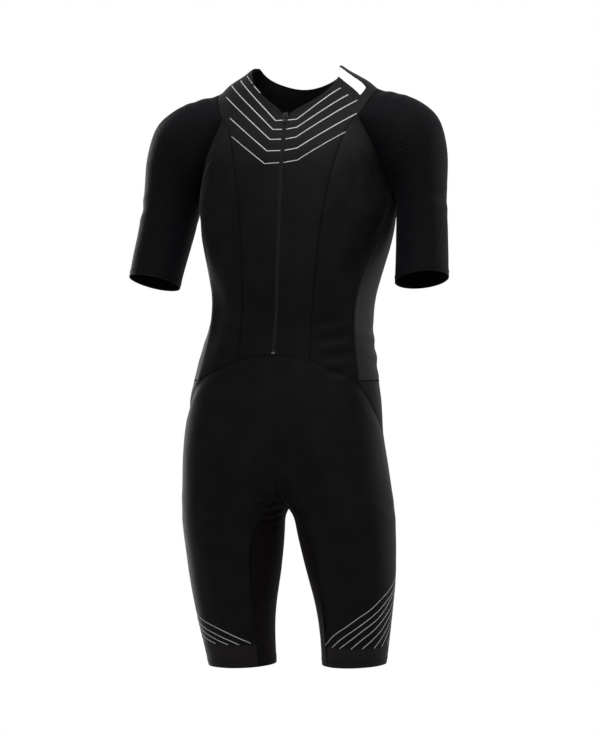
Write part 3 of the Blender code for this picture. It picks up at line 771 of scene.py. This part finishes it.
def makeCloth(name, look):
    material, graph, shader = nodesOf(name)
    where, spot = spotOf(graph)
    cut = graph.nodes.new("ShaderNodeUVMap")
    cut.uv_map = "cut"
    flat = graph.nodes.new("ShaderNodeSeparateXYZ")
    graph.links.new(cut.outputs["UV"], flat.inputs[0])
    across, up = flat.outputs["X"], flat.outputs["Y"]
    pitch = look["pitch"] * mm
    if look["weave"] == "knit":
        # columns of small loops
        column = rib(graph, across, pitch)
        loop = rib(graph, plus(graph, up, times(graph, column, pitch * 0.45)), pitch * 0.8)
        relief = times(graph, column, plus(graph, times(graph, loop, 0.45), 0.55))
    elif look["weave"] == "waffle":
        # sunk cells in staggered rows, with raised threads between them; the cells take the dark low colour as
        # painted shade and the threads the light high colour as painted highlight
        slants = plus(graph, across, up), minus(graph, across, up)
        square = times(graph, rib(graph, slants[0], pitch), rib(graph, slants[1], pitch))
        fine = times(graph, rib(graph, across, pitch / 5), rib(graph, up, pitch / 5))
        relief = times(graph, minus(graph, 1.0, between(graph, square, 0.10, 0.60)), 0.8)
        relief = plus(graph, relief, times(graph, fine, 0.2))
    else:
        # net: small holes in staggered rows
        relief = minus(graph, 1.0, between(graph, dotRows(graph, across, up, pitch), 0.55, 0.95))
    colour = blendColours(graph, relief, look["low"], look["high"])
    if "yoke" in look:
        # open dots over the shoulders, fading out down the chest
        yoke = look["yoke"]
        dots = between(graph, dotRows(graph, across, up, yoke["pitch"] * mm), 0.52, 0.76)
        share = between(graph, spot["Z"], yoke["low"] * mm, yoke["high"] * mm)
        shown = times(graph, dots, share)
        colour = blendColours(graph, times(graph, share, 0.75), colour, yoke["colour"])
        colour = blendColours(graph, times(graph, shown, 0.92), colour, yoke["dot"])
        relief = minus(graph, relief, times(graph, shown, 0.9))
    if "hem" in look:
        hem = look["hem"]
        below = minus(graph, 1.0, between(graph, spot["Z"], (hem["top"] - 1.0) * mm, hem["top"] * mm))
        colour = blendColours(graph, times(graph, below, 0.8), colour, hem["colour"])
    cloud = mottle(graph, where, 26)
    dusty = times(graph, between(graph, cloud, 0.35, 0.75), look["mottle"])
    colour = blendColours(graph, dusty, colour, look["dust"])
    # painted shade along the seams and hem edges, in each cloth's edge colour
    edge = graph.nodes.new("ShaderNodeAttribute")
    edge.attribute_name = "edgeShadeShare"
    colour = blendColours(graph, times(graph, edge.outputs["Fac"], 0.55), colour, look["edge"])
    graph.links.new(colour, shader.inputs["Base Color"])
    rough = plus(graph, times(graph, cloud, 0.12), look["rough"] - 0.06)
    graph.links.new(minus(graph, rough, times(graph, relief, 0.05)), shader.inputs["Roughness"])
    fuzz = mottle(graph, where, 1400, 2)
    raised(graph, shader, plus(graph, relief, times(graph, fuzz, 0.25)), look["bump"], look["deep"])
    shader.inputs["Specular IOR Level"].default_value = look["specular"]
    shader.inputs["Sheen Weight"].default_value = look["sheen"]
    shader.inputs["Sheen Roughness"].default_value = look["sheenRough"]
    shader.inputs["Sheen Tint"].default_value = (*look["sheenTint"], 1)
    return material


# in each cloth, edge is the painted shade along the seams and hem edges
cloths = {
    "main_cloth": {
        "weave": "knit",
        "pitch": 1.3,
        "low": (0.0012, 0.0012, 0.0013),
        "high": (0.0038, 0.0038, 0.0040),
        "dust": (0.0070, 0.0066, 0.0062),
        "edge": (0.0008, 0.0008, 0.0008),
        "mottle": 0.35,
        "rough": 0.58,
        "bump": 0.5,
        "deep": 0.16,
        "specular": 0.045,
        "sheen": 0.07,
        "sheenRough": 0.3,
        "sheenTint": (0.80, 0.72, 0.66),
        "yoke": {
            "pitch": 4.2,
            "low": -165,
            "high": -60,
            "colour": (0.016, 0.016, 0.0175),
            "dot": (0.0006, 0.0006, 0.0006),
        },
        "hem": {"top": -937, "colour": (0.0092, 0.0076, 0.0072)},
    },
    "sleeve_cloth": {
        "weave": "waffle",
        "pitch": 5.6,
        # low is painted shade in the waffle's sunk cells, high is painted highlight on its raised threads
        "low": (0.0002, 0.0002, 0.0003),
        "high": (0.0044, 0.0047, 0.0057),
        "dust": (0.0030, 0.0032, 0.0040),
        "edge": (0.0009, 0.0009, 0.0011),
        "mottle": 0.2,
        "rough": 0.5,
        "bump": 1.0,
        "deep": 0.9,
        "specular": 0.028,
        "sheen": 0.02,
        "sheenRough": 0.25,
        "sheenTint": (0.72, 0.80, 1.0),
    },
    "flank_cloth": {
        "weave": "net",
        "pitch": 2.0,
        "low": (0.0030, 0.0026, 0.0027),
        "high": (0.0116, 0.0101, 0.0105),
        "dust": (0.0150, 0.0131, 0.0135),
        "edge": (0.003, 0.003, 0.003),
        "mottle": 0.3,
        "rough": 0.6,
        "bump": 0.6,
        "deep": 0.2,
        "specular": 0.06,
        "sheen": 0.05,
        "sheenRough": 0.35,
        "sheenTint": (0.9, 0.82, 0.8),
    },
    "inner_leg_cloth": {
        "weave": "knit",
        "pitch": 1.6,
        "low": (0.0016, 0.0011, 0.0012),
        "high": (0.0042, 0.0029, 0.0032),
        "dust": (0.0060, 0.0042, 0.0047),
        "edge": (0.0009, 0.0007, 0.0008),
        "mottle": 0.35,
        "rough": 0.7,
        "bump": 0.5,
        "deep": 0.2,
        "specular": 0.03,
        "sheen": 0.03,
        "sheenRough": 0.4,
        "sheenTint": (0.85, 0.7, 0.72),
    },
}
clothMaterials = {name: makeCloth(name, look) for name, look in cloths.items()}


def takeIn(mesh, name, material):
    piece = bpy.data.objects.new(name, mesh)
    bpy.context.scene.collection.objects.link(piece)
    mesh.materials.clear()
    mesh.materials.append(material)
    return piece


def thicken(piece, thick, sharpFrom=50):
    # gives a sheet its thickness on the inside and applies it
    shell = piece.modifiers.new("Thickness", "SOLIDIFY")
    shell.thickness = thick
    shell.offset = -1
    shell.use_quality_normals = True
    made = bpy.data.meshes.new_from_object(piece.evaluated_get(bpy.context.evaluated_depsgraph_get()))
    piece.modifiers.clear()
    piece.data = made
    made.shade_smooth()
    made.set_sharp_from_angle(angle=radians(sharpFrom))


def cutPanel(number, name):
    shape = bmesh.new()
    shape.from_mesh(fineMesh)
    bmesh.ops.delete(shape, geom=[f for f in shape.faces if f.material_index != number], context="FACES")
    for face in shape.faces:
        face.material_index = 0
        face.smooth = True
    shape.normal_update()
    mesh = bpy.data.meshes.new(name + "_cloth")
    shape.to_mesh(mesh)
    shape.free()
    piece = takeIn(mesh, name + "_cloth", clothMaterials[panels[name]])
    thicken(piece, build["wall"])
    return piece


for number, name in enumerate(panelNames):
    piece = cutPanel(number, name)
    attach(piece, suitBody)
    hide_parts(name)
    wide, tall, area = cutSizes[name]
print("panels cut and thickened:", len(panelNames))


def ribbonAlong(shape, found, width, lift):
    # a flat strip that follows the cloth: one row of points, drawn out sideways
    places = [place for place, _ in found]
    sides = []
    for i, (_, normal) in enumerate(found):
        before, after = places[max(i - 1, 0)], places[min(i + 1, len(places) - 1)]
        sides.append(normal.cross(after - before).normalized())
    row = []
    for (place, normal), side in zip(found, sides):
        edge = place - side * width / 2
        near, nearNormal, _, _ = tree.find_nearest(edge)
        row.append(shape.verts.new(near + nearNormal * lift))
    edges = [shape.edges.new(pair) for pair in zip(row, row[1:])]
    drawn = bmesh.ops.extrude_edge_only(shape, edges=edges)["geom"]
    moved = {}
    for face in (g for g in drawn if isinstance(g, bmesh.types.BMFace)):
        for edge in face.edges:
            ends = [v in row for v in edge.verts]
            if ends[0] != ends[1]:
                old, new = edge.verts if ends[0] else reversed(edge.verts)
                moved[old] = new
    for old, side, (place, normal) in zip(row, sides, found):
        near, nearNormal, _, _ = tree.find_nearest(place + side * width / 2)
        moved[old].co = near + nearNormal * lift


# printed lines: (x, z) on the chest as seen from the front, (angle, z) round each leg, in millimetres
chestLines = {
    "lift": 0.1 * mm,
    "thick": 0.12 * mm,
    "wide": 1.6 * mm,
    "fine": 1.2 * mm,
    "left": [
        [(0.5, -85), (19, -84), (85, -31)],
        [(0.5, -100.5), (21, -97.5), (97, -42)],
        [(0.5, -117), (21, -114), (111, -51)],
        [(0.5, -136), (24, -132.5), (112, -74)],
        [(0.5, -156), (26, -152.5), (98, -105)],
    ],
    "right": [
        [(-0.5, -85), (-16, -85), (-90, -9)],
        [(-0.5, -100.5), (-19, -100), (-108, -15)],
        [(-0.5, -117), (-22, -117), (-112, -37)],
        [(-0.5, -136), (-25.5, -136), (-98, -76)],
        [(-0.5, -156), (-28, -157), (-91, -108)],
        [(-46, -37), (-60, -23)],
        [(-63, -19), (-78, -2)],
    ],
    "zipGap": 3.4,
}
legLines = {
    "lift": 0.1 * mm,
    "thick": 0.12 * mm,
    "wide": 1.1 * mm,
    "middle": (0.097, 0.002, -0.012),  # of a leg: how far out, the suit's shift to the left, and y
    "left": [
        [(-44, -935), (-20, -915), (-2, -902), (17, -886), (35, -872), (52, -855), (75, -836)]
        + [(92, -818), (103, -806)],
        [(-28, -937), (-10, -922), (17, -901), (41, -881), (62, -861), (80, -845), (95, -826), (103, -816)],
        [(-13, -937), (5, -923), (24, -907), (42, -893), (56, -879), (72, -860), (92, -841), (103, -828)],
        [(6, -937), (23, -922), (42, -907), (58, -891), (75, -874), (92, -856), (103, -843)],
        [(24, -937), (42, -922), (56, -909), (71, -892), (90, -873), (103, -860)],
        [(45, -937), (56, -925), (71, -908), (87, -889), (103, -872)],
        [(62, -936), (73, -920), (86, -905), (103, -887)],
        [(80, -935), (92, -920), (103, -906)],
    ],
    "right": [
        [(-32, -935), (-6, -923), (20, -910), (46, -900), (80, -882), (93, -857)],
        [(-13, -937), (12, -926), (40, -915), (66, -905), (87, -890), (98, -870)],
        [(5, -937), (30, -928), (56, -918), (79, -907), (100, -886)],
        [(28, -937), (53, -929), (78, -919), (102, -900)],
        [(55, -937), (78, -929), (104, -912)],
        [(80, -937), (105, -925)],
    ],
}


def zipMiddle(z):
    # the middle of the zip at a height, from the two open edges of the front
    near = zipPoints[abs(points[zipPoints, 2] - z) < 0.006]
    if not len(near):
        near = zipPoints[np.argsort(abs(points[zipPoints, 2] - z))[:6]]
    return float((points[near, 0].min() + points[near, 0].max()) / 2)


def chestRibbon(shape, path, width):
    start = path[0]
    if abs(start[0]) < 1:
        # the line stops short of the zip
        side = 1 if path[1][0] > 0 else -1
        path = [(zipMiddle(start[1] * mm) / mm + side * chestLines["zipGap"], start[1])] + path[1:]
    found = onSurface(tree, "front", path, 2.5)
    if len(found) > 2:
        ribbonAlong(shape, found, width, chestLines["lift"])


def legPoint(side, angle, z):
    # on the outside of one leg: angle 0 is in front and 90 outward
    out, shifted, y = legLines["middle"]
    axis = Vector((side * out + shifted, y, z * mm))
    away = Vector((side * sin(radians(angle)), -cos(radians(angle)), 0))
    place, normal, _, _ = tree.ray_cast(axis + away * 0.15, -away)
    return place, normal


def legRibbon(shape, side, path):
    bends = [Vector((angle, z, 0)) for angle, z in path]
    rounded = []
    for i in range(len(bends) - 1):
        # a smooth line through the bends
        a, b, c, d = bends[max(i - 1, 0)], bends[i], bends[i + 1], bends[min(i + 2, len(bends) - 1)]
        square, cube = 2 * a - 5 * b + 4 * c - d, 3 * b - a - 3 * c + d
        for t in (0, 0.125, 0.25, 0.375, 0.5, 0.625, 0.75, 0.875):
            rounded.append(0.5 * (2 * b + (c - a) * t + square * t**2 + cube * t**3))
    rounded.append(bends[-1])
    found = [legPoint(side, bend.x, bend.y) for bend in rounded]
    ribbonAlong(shape, [f for f in found if f[0] is not None], legLines["wide"], legLines["lift"])


def finishRibbons(shape, name, thick):
    for face in shape.faces:
        face.smooth = True
    shape.normal_update()
    wrong = [f for f in shape.faces if f.normal.dot(tree.find_nearest(f.calc_center_median())[1]) < 0]
    bmesh.ops.reverse_faces(shape, faces=wrong)
    mesh = bpy.data.meshes.new(name)
    shape.to_mesh(mesh)
    shape.free()
    piece = takeIn(mesh, name, silverPrint)
    body = piece.modifiers.new("Thickness", "SOLIDIFY")
    body.thickness = thick
    body.offset = 1
    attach(piece, suitBody)
    return piece


def makeSilver(name, look):
    # a reflective print that lets a little of the cloth's grain through
    material, graph, shader = nodesOf(name)
    where, _ = spotOf(graph)
    grain = mottle(graph, where, 900, 2)
    worn = between(graph, mottle(graph, where, 60, 3), 0.5, 0.8)
    colour = blendColours(graph, between(graph, grain, 0.3, 0.75), look["low"], look["high"])
    colour = blendColours(graph, times(graph, worn, 0.35), colour, look["worn"])
    graph.links.new(colour, shader.inputs["Base Color"])
    roughened(graph, shader, grain, 0.2, look["rough"])
    raised(graph, shader, grain, 0.4, 0.05)
    shader.inputs["Metallic"].default_value = look["metal"]
    return material


silver = {
    "low": (0.24, 0.24, 0.245),
    "high": (0.43, 0.43, 0.44),
    "worn": (0.20, 0.20, 0.205),
    "rough": 0.4,
    "metal": 0.25,
}
silverPrint = makeSilver("silverPrint", silver)
chest = bmesh.new()
for side in ("left", "right"):
    for number, path in enumerate(chestLines[side]):
        chestRibbon(chest, path, chestLines["fine"] if number >= 4 else chestLines["wide"])
finishRibbons(chest, "chest_lines", chestLines["thick"])
for word, side in (("left", 1), ("right", -1)):
    leg = bmesh.new()
    for path in legLines[word]:
        legRibbon(leg, side, path)
    finishRibbons(leg, "leg_lines_" + word, legLines["thick"])
print("printed lines laid")


# sewing: threads over every seam, round every hem and round the pad
sewing = {
    "thread": 0.2 * mm,  # its radius
    "lift": 0.14 * mm,
    "seamLift": 0.12 * mm,
    "seamReach": 1.15 * mm,  # how far the zigzag goes to each side of a seam
    "seamPitch": 1.25 * mm,
    "hemIn": {"neck": 5.5 * mm, "other": 10 * mm},
    "hemStitch": 2.6 * mm,
    "padStitch": 2.4 * mm,
}


def chainsOf(edges):
    # joins edges into lines of points, broken where three or more meet
    beside = {}
    for a, b in edges:
        beside.setdefault(int(a), []).append(int(b))
        beside.setdefault(int(b), []).append(int(a))
    used = set()
    chains = []
    ends = [p for p, others in beside.items() if len(others) != 2] + list(beside)
    for start in ends:
        for other in beside[start]:
            if (start, other) in used:
                continue
            chain = [start, other]
            used |= {(start, other), (other, start)}
            while len(beside[chain[-1]]) == 2:
                following = [p for p in beside[chain[-1]] if (chain[-1], p) not in used]
                if not following:
                    break
                used |= {(chain[-1], following[0]), (following[0], chain[-1])}
                chain.append(following[0])
            chains.append(chain)
    return chains


def evenly(places, step):
    # the same line with points at even steps
    gaps = np.linalg.norm(np.diff(places, axis=0), axis=1)
    travelled = np.concatenate([[0], np.cumsum(gaps)])
    count = max(2, int(travelled[-1] / step))
    wanted = np.linspace(0, travelled[-1], count)
    return np.column_stack([np.interp(wanted, travelled, places[:, i]) for i in range(3)])


def zigzag(places, reach, lift):
    made = []
    for i in range(1, len(places) - 1):
        near, normal, _, _ = tree.find_nearest(Vector(places[i]))
        side = normal.cross(Vector(places[i + 1] - places[i - 1])).normalized()
        near, normal, _, _ = tree.find_nearest(near + side * (reach if i % 2 else -reach))
        made.append(near + normal * lift)
    return made


def stitchRow(places, step, lift):
    # lockstitch: the thread lies on the cloth and dips into it at each needle hole
    made = []
    for i, place in enumerate(evenly(places, step / 4)):
        near, normal, _, _ = tree.find_nearest(Vector(place))
        made.append(near + normal * (-0.25 * lift if i % 4 == 0 else lift))
    return made


def threadPiece(name, lines, radius, material):
    drawn = bpy.data.curves.new(name, "CURVE")
    drawn.dimensions = "3D"
    drawn.bevel_depth = radius
    drawn.bevel_resolution = 0
    drawn.use_fill_caps = True
    for line in lines:
        spline = drawn.splines.new("POLY")
        spline.points.add(len(line) - 1)
        spline.points.foreach_set("co", [value for place in line for value in (*place, 1)])
    holder = bpy.data.objects.new(name, drawn)
    bpy.context.scene.collection.objects.link(holder)
    mesh = bpy.data.meshes.new_from_object(holder.evaluated_get(bpy.context.evaluated_depsgraph_get()))
    bpy.data.objects.remove(holder)
    bpy.data.curves.remove(drawn)
    mesh.name = name
    mesh.shade_smooth()
    piece = takeIn(mesh, name, material)
    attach(piece, suitBody)
    return piece


def makeThread(name, colour, lighter):
    material, graph, shader = nodesOf(name)
    where, _ = spotOf(graph)
    twist = graph.nodes.new("ShaderNodeTexWave")
    graph.links.new(where, twist.inputs["Vector"])
    twist.inputs["Scale"].default_value = 900
    twist.inputs["Distortion"].default_value = 2
    fibre = mottle(graph, where, 2500, 2)
    share = times(graph, plus(graph, twist.outputs["Fac"], fibre), 0.5)
    graph.links.new(blendColours(graph, share, colour, lighter), shader.inputs["Base Color"])
    roughened(graph, shader, fibre, 0.2, 0.5)
    raised(graph, shader, share, 0.5, 0.05)
    shader.inputs["Specular IOR Level"].default_value = 0.06
    return material


blackThread = makeThread("blackThread", (0.0022, 0.0022, 0.0024), (0.0085, 0.0085, 0.0090))
whiteThread = makeThread("whiteThread", (0.55, 0.55, 0.55), (0.72, 0.72, 0.72))
seamThreads = []
for chain in chainsOf(seamEdges):
    line = zigzag(evenly(points[chain], sewing["seamPitch"]), sewing["seamReach"], sewing["seamLift"])
    if len(line) > 3:
        seamThreads.append(line)
threadPiece("seam_stitches", seamThreads, sewing["thread"], blackThread)

hemSet = set(int(p) for p in hemPoints)
hemEdges = [edge for edge in rimEdges if int(edge[0]) in hemSet and int(edge[1]) in hemSet]
hemThreads = []
for chain in chainsOf(hemEdges):
    depth = sewing["hemIn"]["neck" if points[chain, 2].max() > -0.12 else "other"]
    inner = []
    for i in range(len(chain)):
        before, after = points[chain[max(i - 2, 0)]], points[chain[min(i + 2, len(chain) - 1)]]
        place = Vector(points[chain[i]])
        side = Vector(normals[chain[i]]).cross(Vector(after - before)).normalized() * depth
        # the cloth lies on one side of its edge only
        ways = [(tree.find_nearest(place + way)[0], place + way) for way in (side, -side)]
        inner.append(min(ways, key=lambda way: (way[0] - way[1]).length)[0])
    if len(inner) > 8:
        places = np.array([tuple(p) for p in inner])
        for row in (0, 1):
            hemThreads.append(stitchRow(places, sewing["hemStitch"], sewing["lift"]))
            # the second row runs a little nearer the edge
            places = places + 0.2 * (points[chain] - places)
threadPiece("hem_stitches", hemThreads, sewing["thread"], blackThread)

padLine = np.array([tuple(place) for place, _ in onSurface(tree, "front", padOutline["path"], 3)])
padStitches = stitchRow(padLine, sewing["padStitch"], sewing["lift"])
threadPiece("pad_outline_stitches", [padStitches], sewing["thread"], blackThread)
print("stitched:", len(seamThreads), "seams,", len(hemThreads), "hem rows")


# the zip: woven tape with small teeth down its middle
zipLook = {
    "pitch": 1.2 * mm,
    "tooth": (2.5 * mm, 0.8 * mm, 0.72 * mm),
    "shiftAside": 0.35 * mm,
    "proud": 0.15 * mm,
    "round": 0.16 * mm,
}


def zipLine():
    # the middle of the zip's front face at even steps, from its CAD solid
    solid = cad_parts["zip_chain"].data
    chainTree = BVHTree.FromPolygons([v.co for v in solid.vertices], [p.vertices for p in solid.polygons])
    low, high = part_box("zip_chain")
    rows = []
    for z in np.linspace(low.z + 0.004, high.z - 0.003, 90):
        hits = []
        for x in np.arange(low.x, high.x, 0.0004):
            place, _, _, _ = chainTree.ray_cast(Vector((x, -1, z)), Vector((0, 1, 0)))
            if place is not None:
                hits.append(place)
        if hits:
            middle = (hits[0].x + hits[-1].x) / 2
            rows.append((middle, min(h.y for h in hits), z))
    return np.array(rows)


def makeTeeth():
    shape = bmesh.new()
    line = evenly(zipLine(), zipLook["pitch"])
    sizes = Matrix.Diagonal((*zipLook["tooth"], 1))
    for i in range(1, len(line) - 1):
        along = Vector(line[i + 1] - line[i - 1]).normalized()
        turn = Vector((0, 0, 1)).rotation_difference(along).to_matrix().to_4x4()
        aside = zipLook["shiftAside"] * (1 if i % 2 else -1)
        spot = Vector(line[i]) + Vector((aside, -zipLook["proud"], 0))
        bmesh.ops.create_cube(shape, size=1, matrix=Matrix.Translation(spot) @ turn @ sizes)
    bmesh.ops.bevel(
        shape,
        geom=shape.edges,
        offset=zipLook["round"],
        affect="EDGES",
        segments=1,
        profile=0.5,
        material=-1,
        clamp_overlap=True,
    )
    mesh = bpy.data.meshes.new("zip_teeth")
    shape.to_mesh(mesh)
    shape.free()
    return mesh


def makeSolidFinish(name, look):
    # moulded or painted trim with a fine grain and rubbed places
    material, graph, shader = nodesOf(name)
    where, _ = spotOf(graph)
    grain = mottle(graph, where, look["grain"], 3)
    rubbed = between(graph, mottle(graph, where, look["grain"] / 6, 4), 0.58, 0.72)
    colour = blendColours(graph, grain, look["low"], look["high"])
    colour = blendColours(graph, times(graph, rubbed, 0.5), colour, look["rubbed"])
    graph.links.new(colour, shader.inputs["Base Color"])
    roughened(graph, shader, grain, 0.15, look["rough"])
    raised(graph, shader, grain, 0.3, 0.04)
    shader.inputs["Specular IOR Level"].default_value = look["specular"]
    return material


def makeTape(name):
    # herringbone tape
    material, graph, shader = nodesOf(name)
    where, spot = spotOf(graph)
    slant = plus(graph, spot["Z"], times(graph, rib(graph, spot["X"], 2.4 * mm), 1.2 * mm))
    relief = rib(graph, slant, 0.7 * mm)
    fibre = mottle(graph, where, 1800, 2)
    colour = blendColours(graph, relief, (0.0025, 0.0025, 0.0027), (0.0095, 0.0095, 0.0100))
    colour = blendColours(graph, times(graph, fibre, 0.4), colour, (0.015, 0.015, 0.016))
    graph.links.new(colour, shader.inputs["Base Color"])
    roughened(graph, shader, fibre, 0.15, 0.6)
    raised(graph, shader, relief, 0.6, 0.1)
    shader.inputs["Specular IOR Level"].default_value = 0.05
    return material


finishes = {
    "blackMetal": {
        "low": (0.003, 0.003, 0.0033),
        "high": (0.007, 0.007, 0.0075),
        "rubbed": (0.02, 0.02, 0.021),
        "rough": 0.32,
        "specular": 0.12,
        "grain": 700,
    },
    "toothPlastic": {
        "low": (0.004, 0.004, 0.0043),
        "high": (0.010, 0.010, 0.0105),
        "rubbed": (0.018, 0.018, 0.019),
        "rough": 0.4,
        "specular": 0.12,
        "grain": 1200,
    },
    "stopPlastic": {
        "low": (0.045, 0.042, 0.040),
        "high": (0.085, 0.080, 0.076),
        "rubbed": (0.14, 0.135, 0.13),
        "rough": 0.4,
        "specular": 0.3,
        "grain": 900,
    },
}
trim = {name: makeSolidFinish(name, look) for name, look in finishes.items()}
zipTape = makeTape("zipTape")
teeth = takeIn(makeTeeth(), "zip_teeth", trim["toothPlastic"])
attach(teeth, suitBody)


def finishNode(name, material, roundOff, angle=30):
    # a CAD node that stays: its edges softened, its own finish put on
    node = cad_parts[name]
    node.data.materials.clear()
    node.data.materials.append(material)
    if roundOff:
        merge = node.modifiers.new("Merge", "WELD")
        merge.merge_threshold = 1e-6
        soft = node.modifiers.new("Soften", "BEVEL")
        soft.width = roundOff
        soft.segments = 2
        soft.limit_method = "ANGLE"
        soft.angle_limit = radians(angle)
        soft.harden_normals = False


finishNode("zip_chain", zipTape, 0.25 * mm, 40)
finishNode("zip_slider", trim["blackMetal"], 0.22 * mm)
finishNode("zip_pull_tab", trim["blackMetal"], 0.18 * mm)
finishNode("zip_bottom_stop", trim["stopPlastic"], 0.12 * mm)
print("zip finished")


# the shoulder label: bare white woven cloth, sewn on round its edge
labelLook = {
    "slideDown": 8.5 * mm,
    "reachDown": 3 * mm,
    "lift": 0.3 * mm,
    "wall": 0.35 * mm,
    "stitchIn": 1.6 * mm,
    "stitch": 2.2 * mm,
    "stitchLift": 0.08 * mm,
    "thread": 0.16 * mm,
}


def labelSheet():
    shape = bmesh.new()
    shape.from_mesh(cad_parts["shoulder_label"].data)
    bmesh.ops.remove_doubles(shape, verts=shape.verts, dist=1e-6)
    shape.normal_update()
    out = [f for f in shape.faces if f.normal.dot(tree.find_nearest(f.calc_center_median())[1]) > 0.6]
    bmesh.ops.delete(shape, geom=[f for f in shape.faces if f not in set(out)], context="FACES")
    bmesh.ops.join_triangles(
        shape, faces=shape.faces, angle_face_threshold=radians(40), angle_shape_threshold=radians(70)
    )
    bmesh.ops.subdivide_edges(shape, edges=shape.edges, cuts=2, use_grid_fill=True)
    middle = sum((v.co for v in shape.verts), Vector()) / len(shape.verts)
    low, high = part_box("shoulder_label")
    longWay = Vector((high.x - low.x, 0, low.z - high.z)).normalized()
    facing = tree.find_nearest(middle)[1]
    downWay = longWay.cross(facing).normalized()
    if downWay.y > 0:
        downWay.negate()
    spread = [(v.co - middle).dot(downWay) for v in shape.verts]
    least, most = min(spread), max(spread)
    for vert, way in zip(shape.verts, spread):
        share = (way - least) / (most - least)
        down = labelLook["slideDown"] + share * labelLook["reachDown"]
        near, normal, _, _ = tree.find_nearest(vert.co + downWay * down)
        vert.co = near + normal * labelLook["lift"]
    shape.normal_update()
    return shape


def makeLabelCloth(name):
    material, graph, shader = nodesOf(name)
    where, spot = spotOf(graph)
    weft, warp = rib(graph, spot["X"], 0.45 * mm), rib(graph, spot["Y"], 0.45 * mm)
    relief = times(graph, plus(graph, weft, warp), 0.5)
    cloud = mottle(graph, where, 120, 3)
    colour = blendColours(graph, relief, (0.60, 0.60, 0.61), (0.74, 0.74, 0.75))
    colour = blendColours(graph, times(graph, cloud, 0.25), colour, (0.55, 0.55, 0.56))
    graph.links.new(colour, shader.inputs["Base Color"])
    roughened(graph, shader, cloud, 0.15, 0.55)
    raised(graph, shader, relief, 0.5, 0.08)
    shader.inputs["Sheen Weight"].default_value = 0.15
    return material


sheet = labelSheet()
labelArea = sum(f.calc_area() for f in sheet.faces)
sheet.verts.index_update()
rimLoop = [tuple(v.index for v in e.verts) for e in sheet.edges if e.is_boundary]
labelPoints = np.array([tuple(v.co) for v in sheet.verts])
labelMiddle = labelPoints.mean(0)
labelMesh = bpy.data.meshes.new("shoulder_label_cloth")
for face in sheet.faces:
    face.smooth = True
sheet.to_mesh(labelMesh)
sheet.free()
label = takeIn(labelMesh, "shoulder_label_cloth", makeLabelCloth("labelCloth"))
shell = label.modifiers.new("Thickness", "SOLIDIFY")
shell.thickness = labelLook["wall"]
shell.offset = 1
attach(label, suitBody)
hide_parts("shoulder_label")
ring = labelPoints[max(chainsOf(rimLoop), key=len)]
toMiddle = labelMiddle - ring
inward = ring + toMiddle / np.linalg.norm(toMiddle, axis=1)[:, None] * labelLook["stitchIn"]
labelTop = labelLook["lift"] + labelLook["wall"] + labelLook["stitchLift"]
labelRow = stitchRow(inward, labelLook["stitch"], labelTop)
threadPiece("label_stitches", [labelRow], labelLook["thread"], whiteThread)


# floor, light and camera
studio = {
    "floorDrop": 0.47,
    "floorReach": 1.6,
    "ambient": 0.55,
    "top": {"place": (0.25, -0.55, 0.95), "size": (1.4, 0.9), "watts": 26},
    "front": {"place": (0.5, -2.6, 0.1), "size": (1.6, 1.6), "watts": 16},
    "left": {"place": (1.1, 0.75, -0.45), "size": (0.5, 1.7), "watts": 5},
    "right": {"place": (-1.1, 0.75, -0.45), "size": (0.5, 1.7), "watts": 12},
    "aim": (0, 0, -0.45),
}
view = {"azimuth": 13.6, "distance": 3.0, "lens": 89.0, "aside": 0.0036, "height": -0.4806}


def softLight(name, spec):
    data = bpy.data.lights.new(name, "AREA")
    data.shape = "RECTANGLE"
    data.size, data.size_y = spec["size"]
    data.energy = spec["watts"]
    light = bpy.data.objects.new(name, data)
    light.location = spec["place"]
    light.rotation_euler = (Vector(studio["aim"]) - Vector(spec["place"])).to_track_quat("-Z", "Y").to_euler()
    bpy.context.scene.collection.objects.link(light)


for name in ("top", "front", "left", "right"):
    softLight(name + "Light", studio[name])

disc = bmesh.new()
bmesh.ops.create_circle(disc, cap_ends=True, segments=96, radius=studio["floorReach"])
bmesh.ops.translate(disc, verts=disc.verts, vec=(0, 0, cadLow[2] - studio["floorDrop"]))
floorMesh = bpy.data.meshes.new("floor")
disc.to_mesh(floorMesh)
disc.free()
floorPaint, floorTree, floorShader = nodesOf("floorPaint")
speck = mottle(floorTree, spotOf(floorTree)[0], 14, 3)
floorColour = blendColours(floorTree, speck, (0.78, 0.78, 0.78), (0.84, 0.84, 0.84))
floorTree.links.new(floorColour, floorShader.inputs["Base Color"])
floorShader.inputs["Roughness"].default_value = 0.8
takeIn(floorMesh, "floor", floorPaint)

world = bpy.data.worlds.new("studio")
bpy.context.scene.world = world
world.use_nodes = True
worldTree = world.node_tree
backing = worldTree.nodes["Background"]
backing.inputs["Color"].default_value = (1, 1, 1, 1)
backing.inputs["Strength"].default_value = studio["ambient"]
seen = worldTree.nodes.new("ShaderNodeBackground")
seen.inputs["Color"].default_value = (1, 1, 1, 1)
which = worldTree.nodes.new("ShaderNodeLightPath")
either = worldTree.nodes.new("ShaderNodeMixShader")
worldTree.links.new(which.outputs["Is Camera Ray"], either.inputs[0])
worldTree.links.new(backing.outputs[0], either.inputs[1])
worldTree.links.new(seen.outputs[0], either.inputs[2])
worldTree.links.new(either.outputs[0], worldTree.nodes["World Output"].inputs["Surface"])

lens = bpy.data.cameras.new("camera")
lens.lens = view["lens"]
camera = bpy.data.objects.new("camera", lens)
turn = radians(view["azimuth"])
right = Vector((cos(turn), sin(turn), 0))
back = Vector((sin(turn), -cos(turn), 0))
camera.location = back * view["distance"] + right * view["aside"] + Vector((0, 0, view["height"]))
camera.rotation_euler = (pi / 2, 0, turn)
bpy.context.scene.collection.objects.link(camera)
bpy.context.scene.camera = camera
bpy.context.scene.view_settings.view_transform = "Standard"
bpy.context.scene.view_settings.look = "None"

print("stage set")
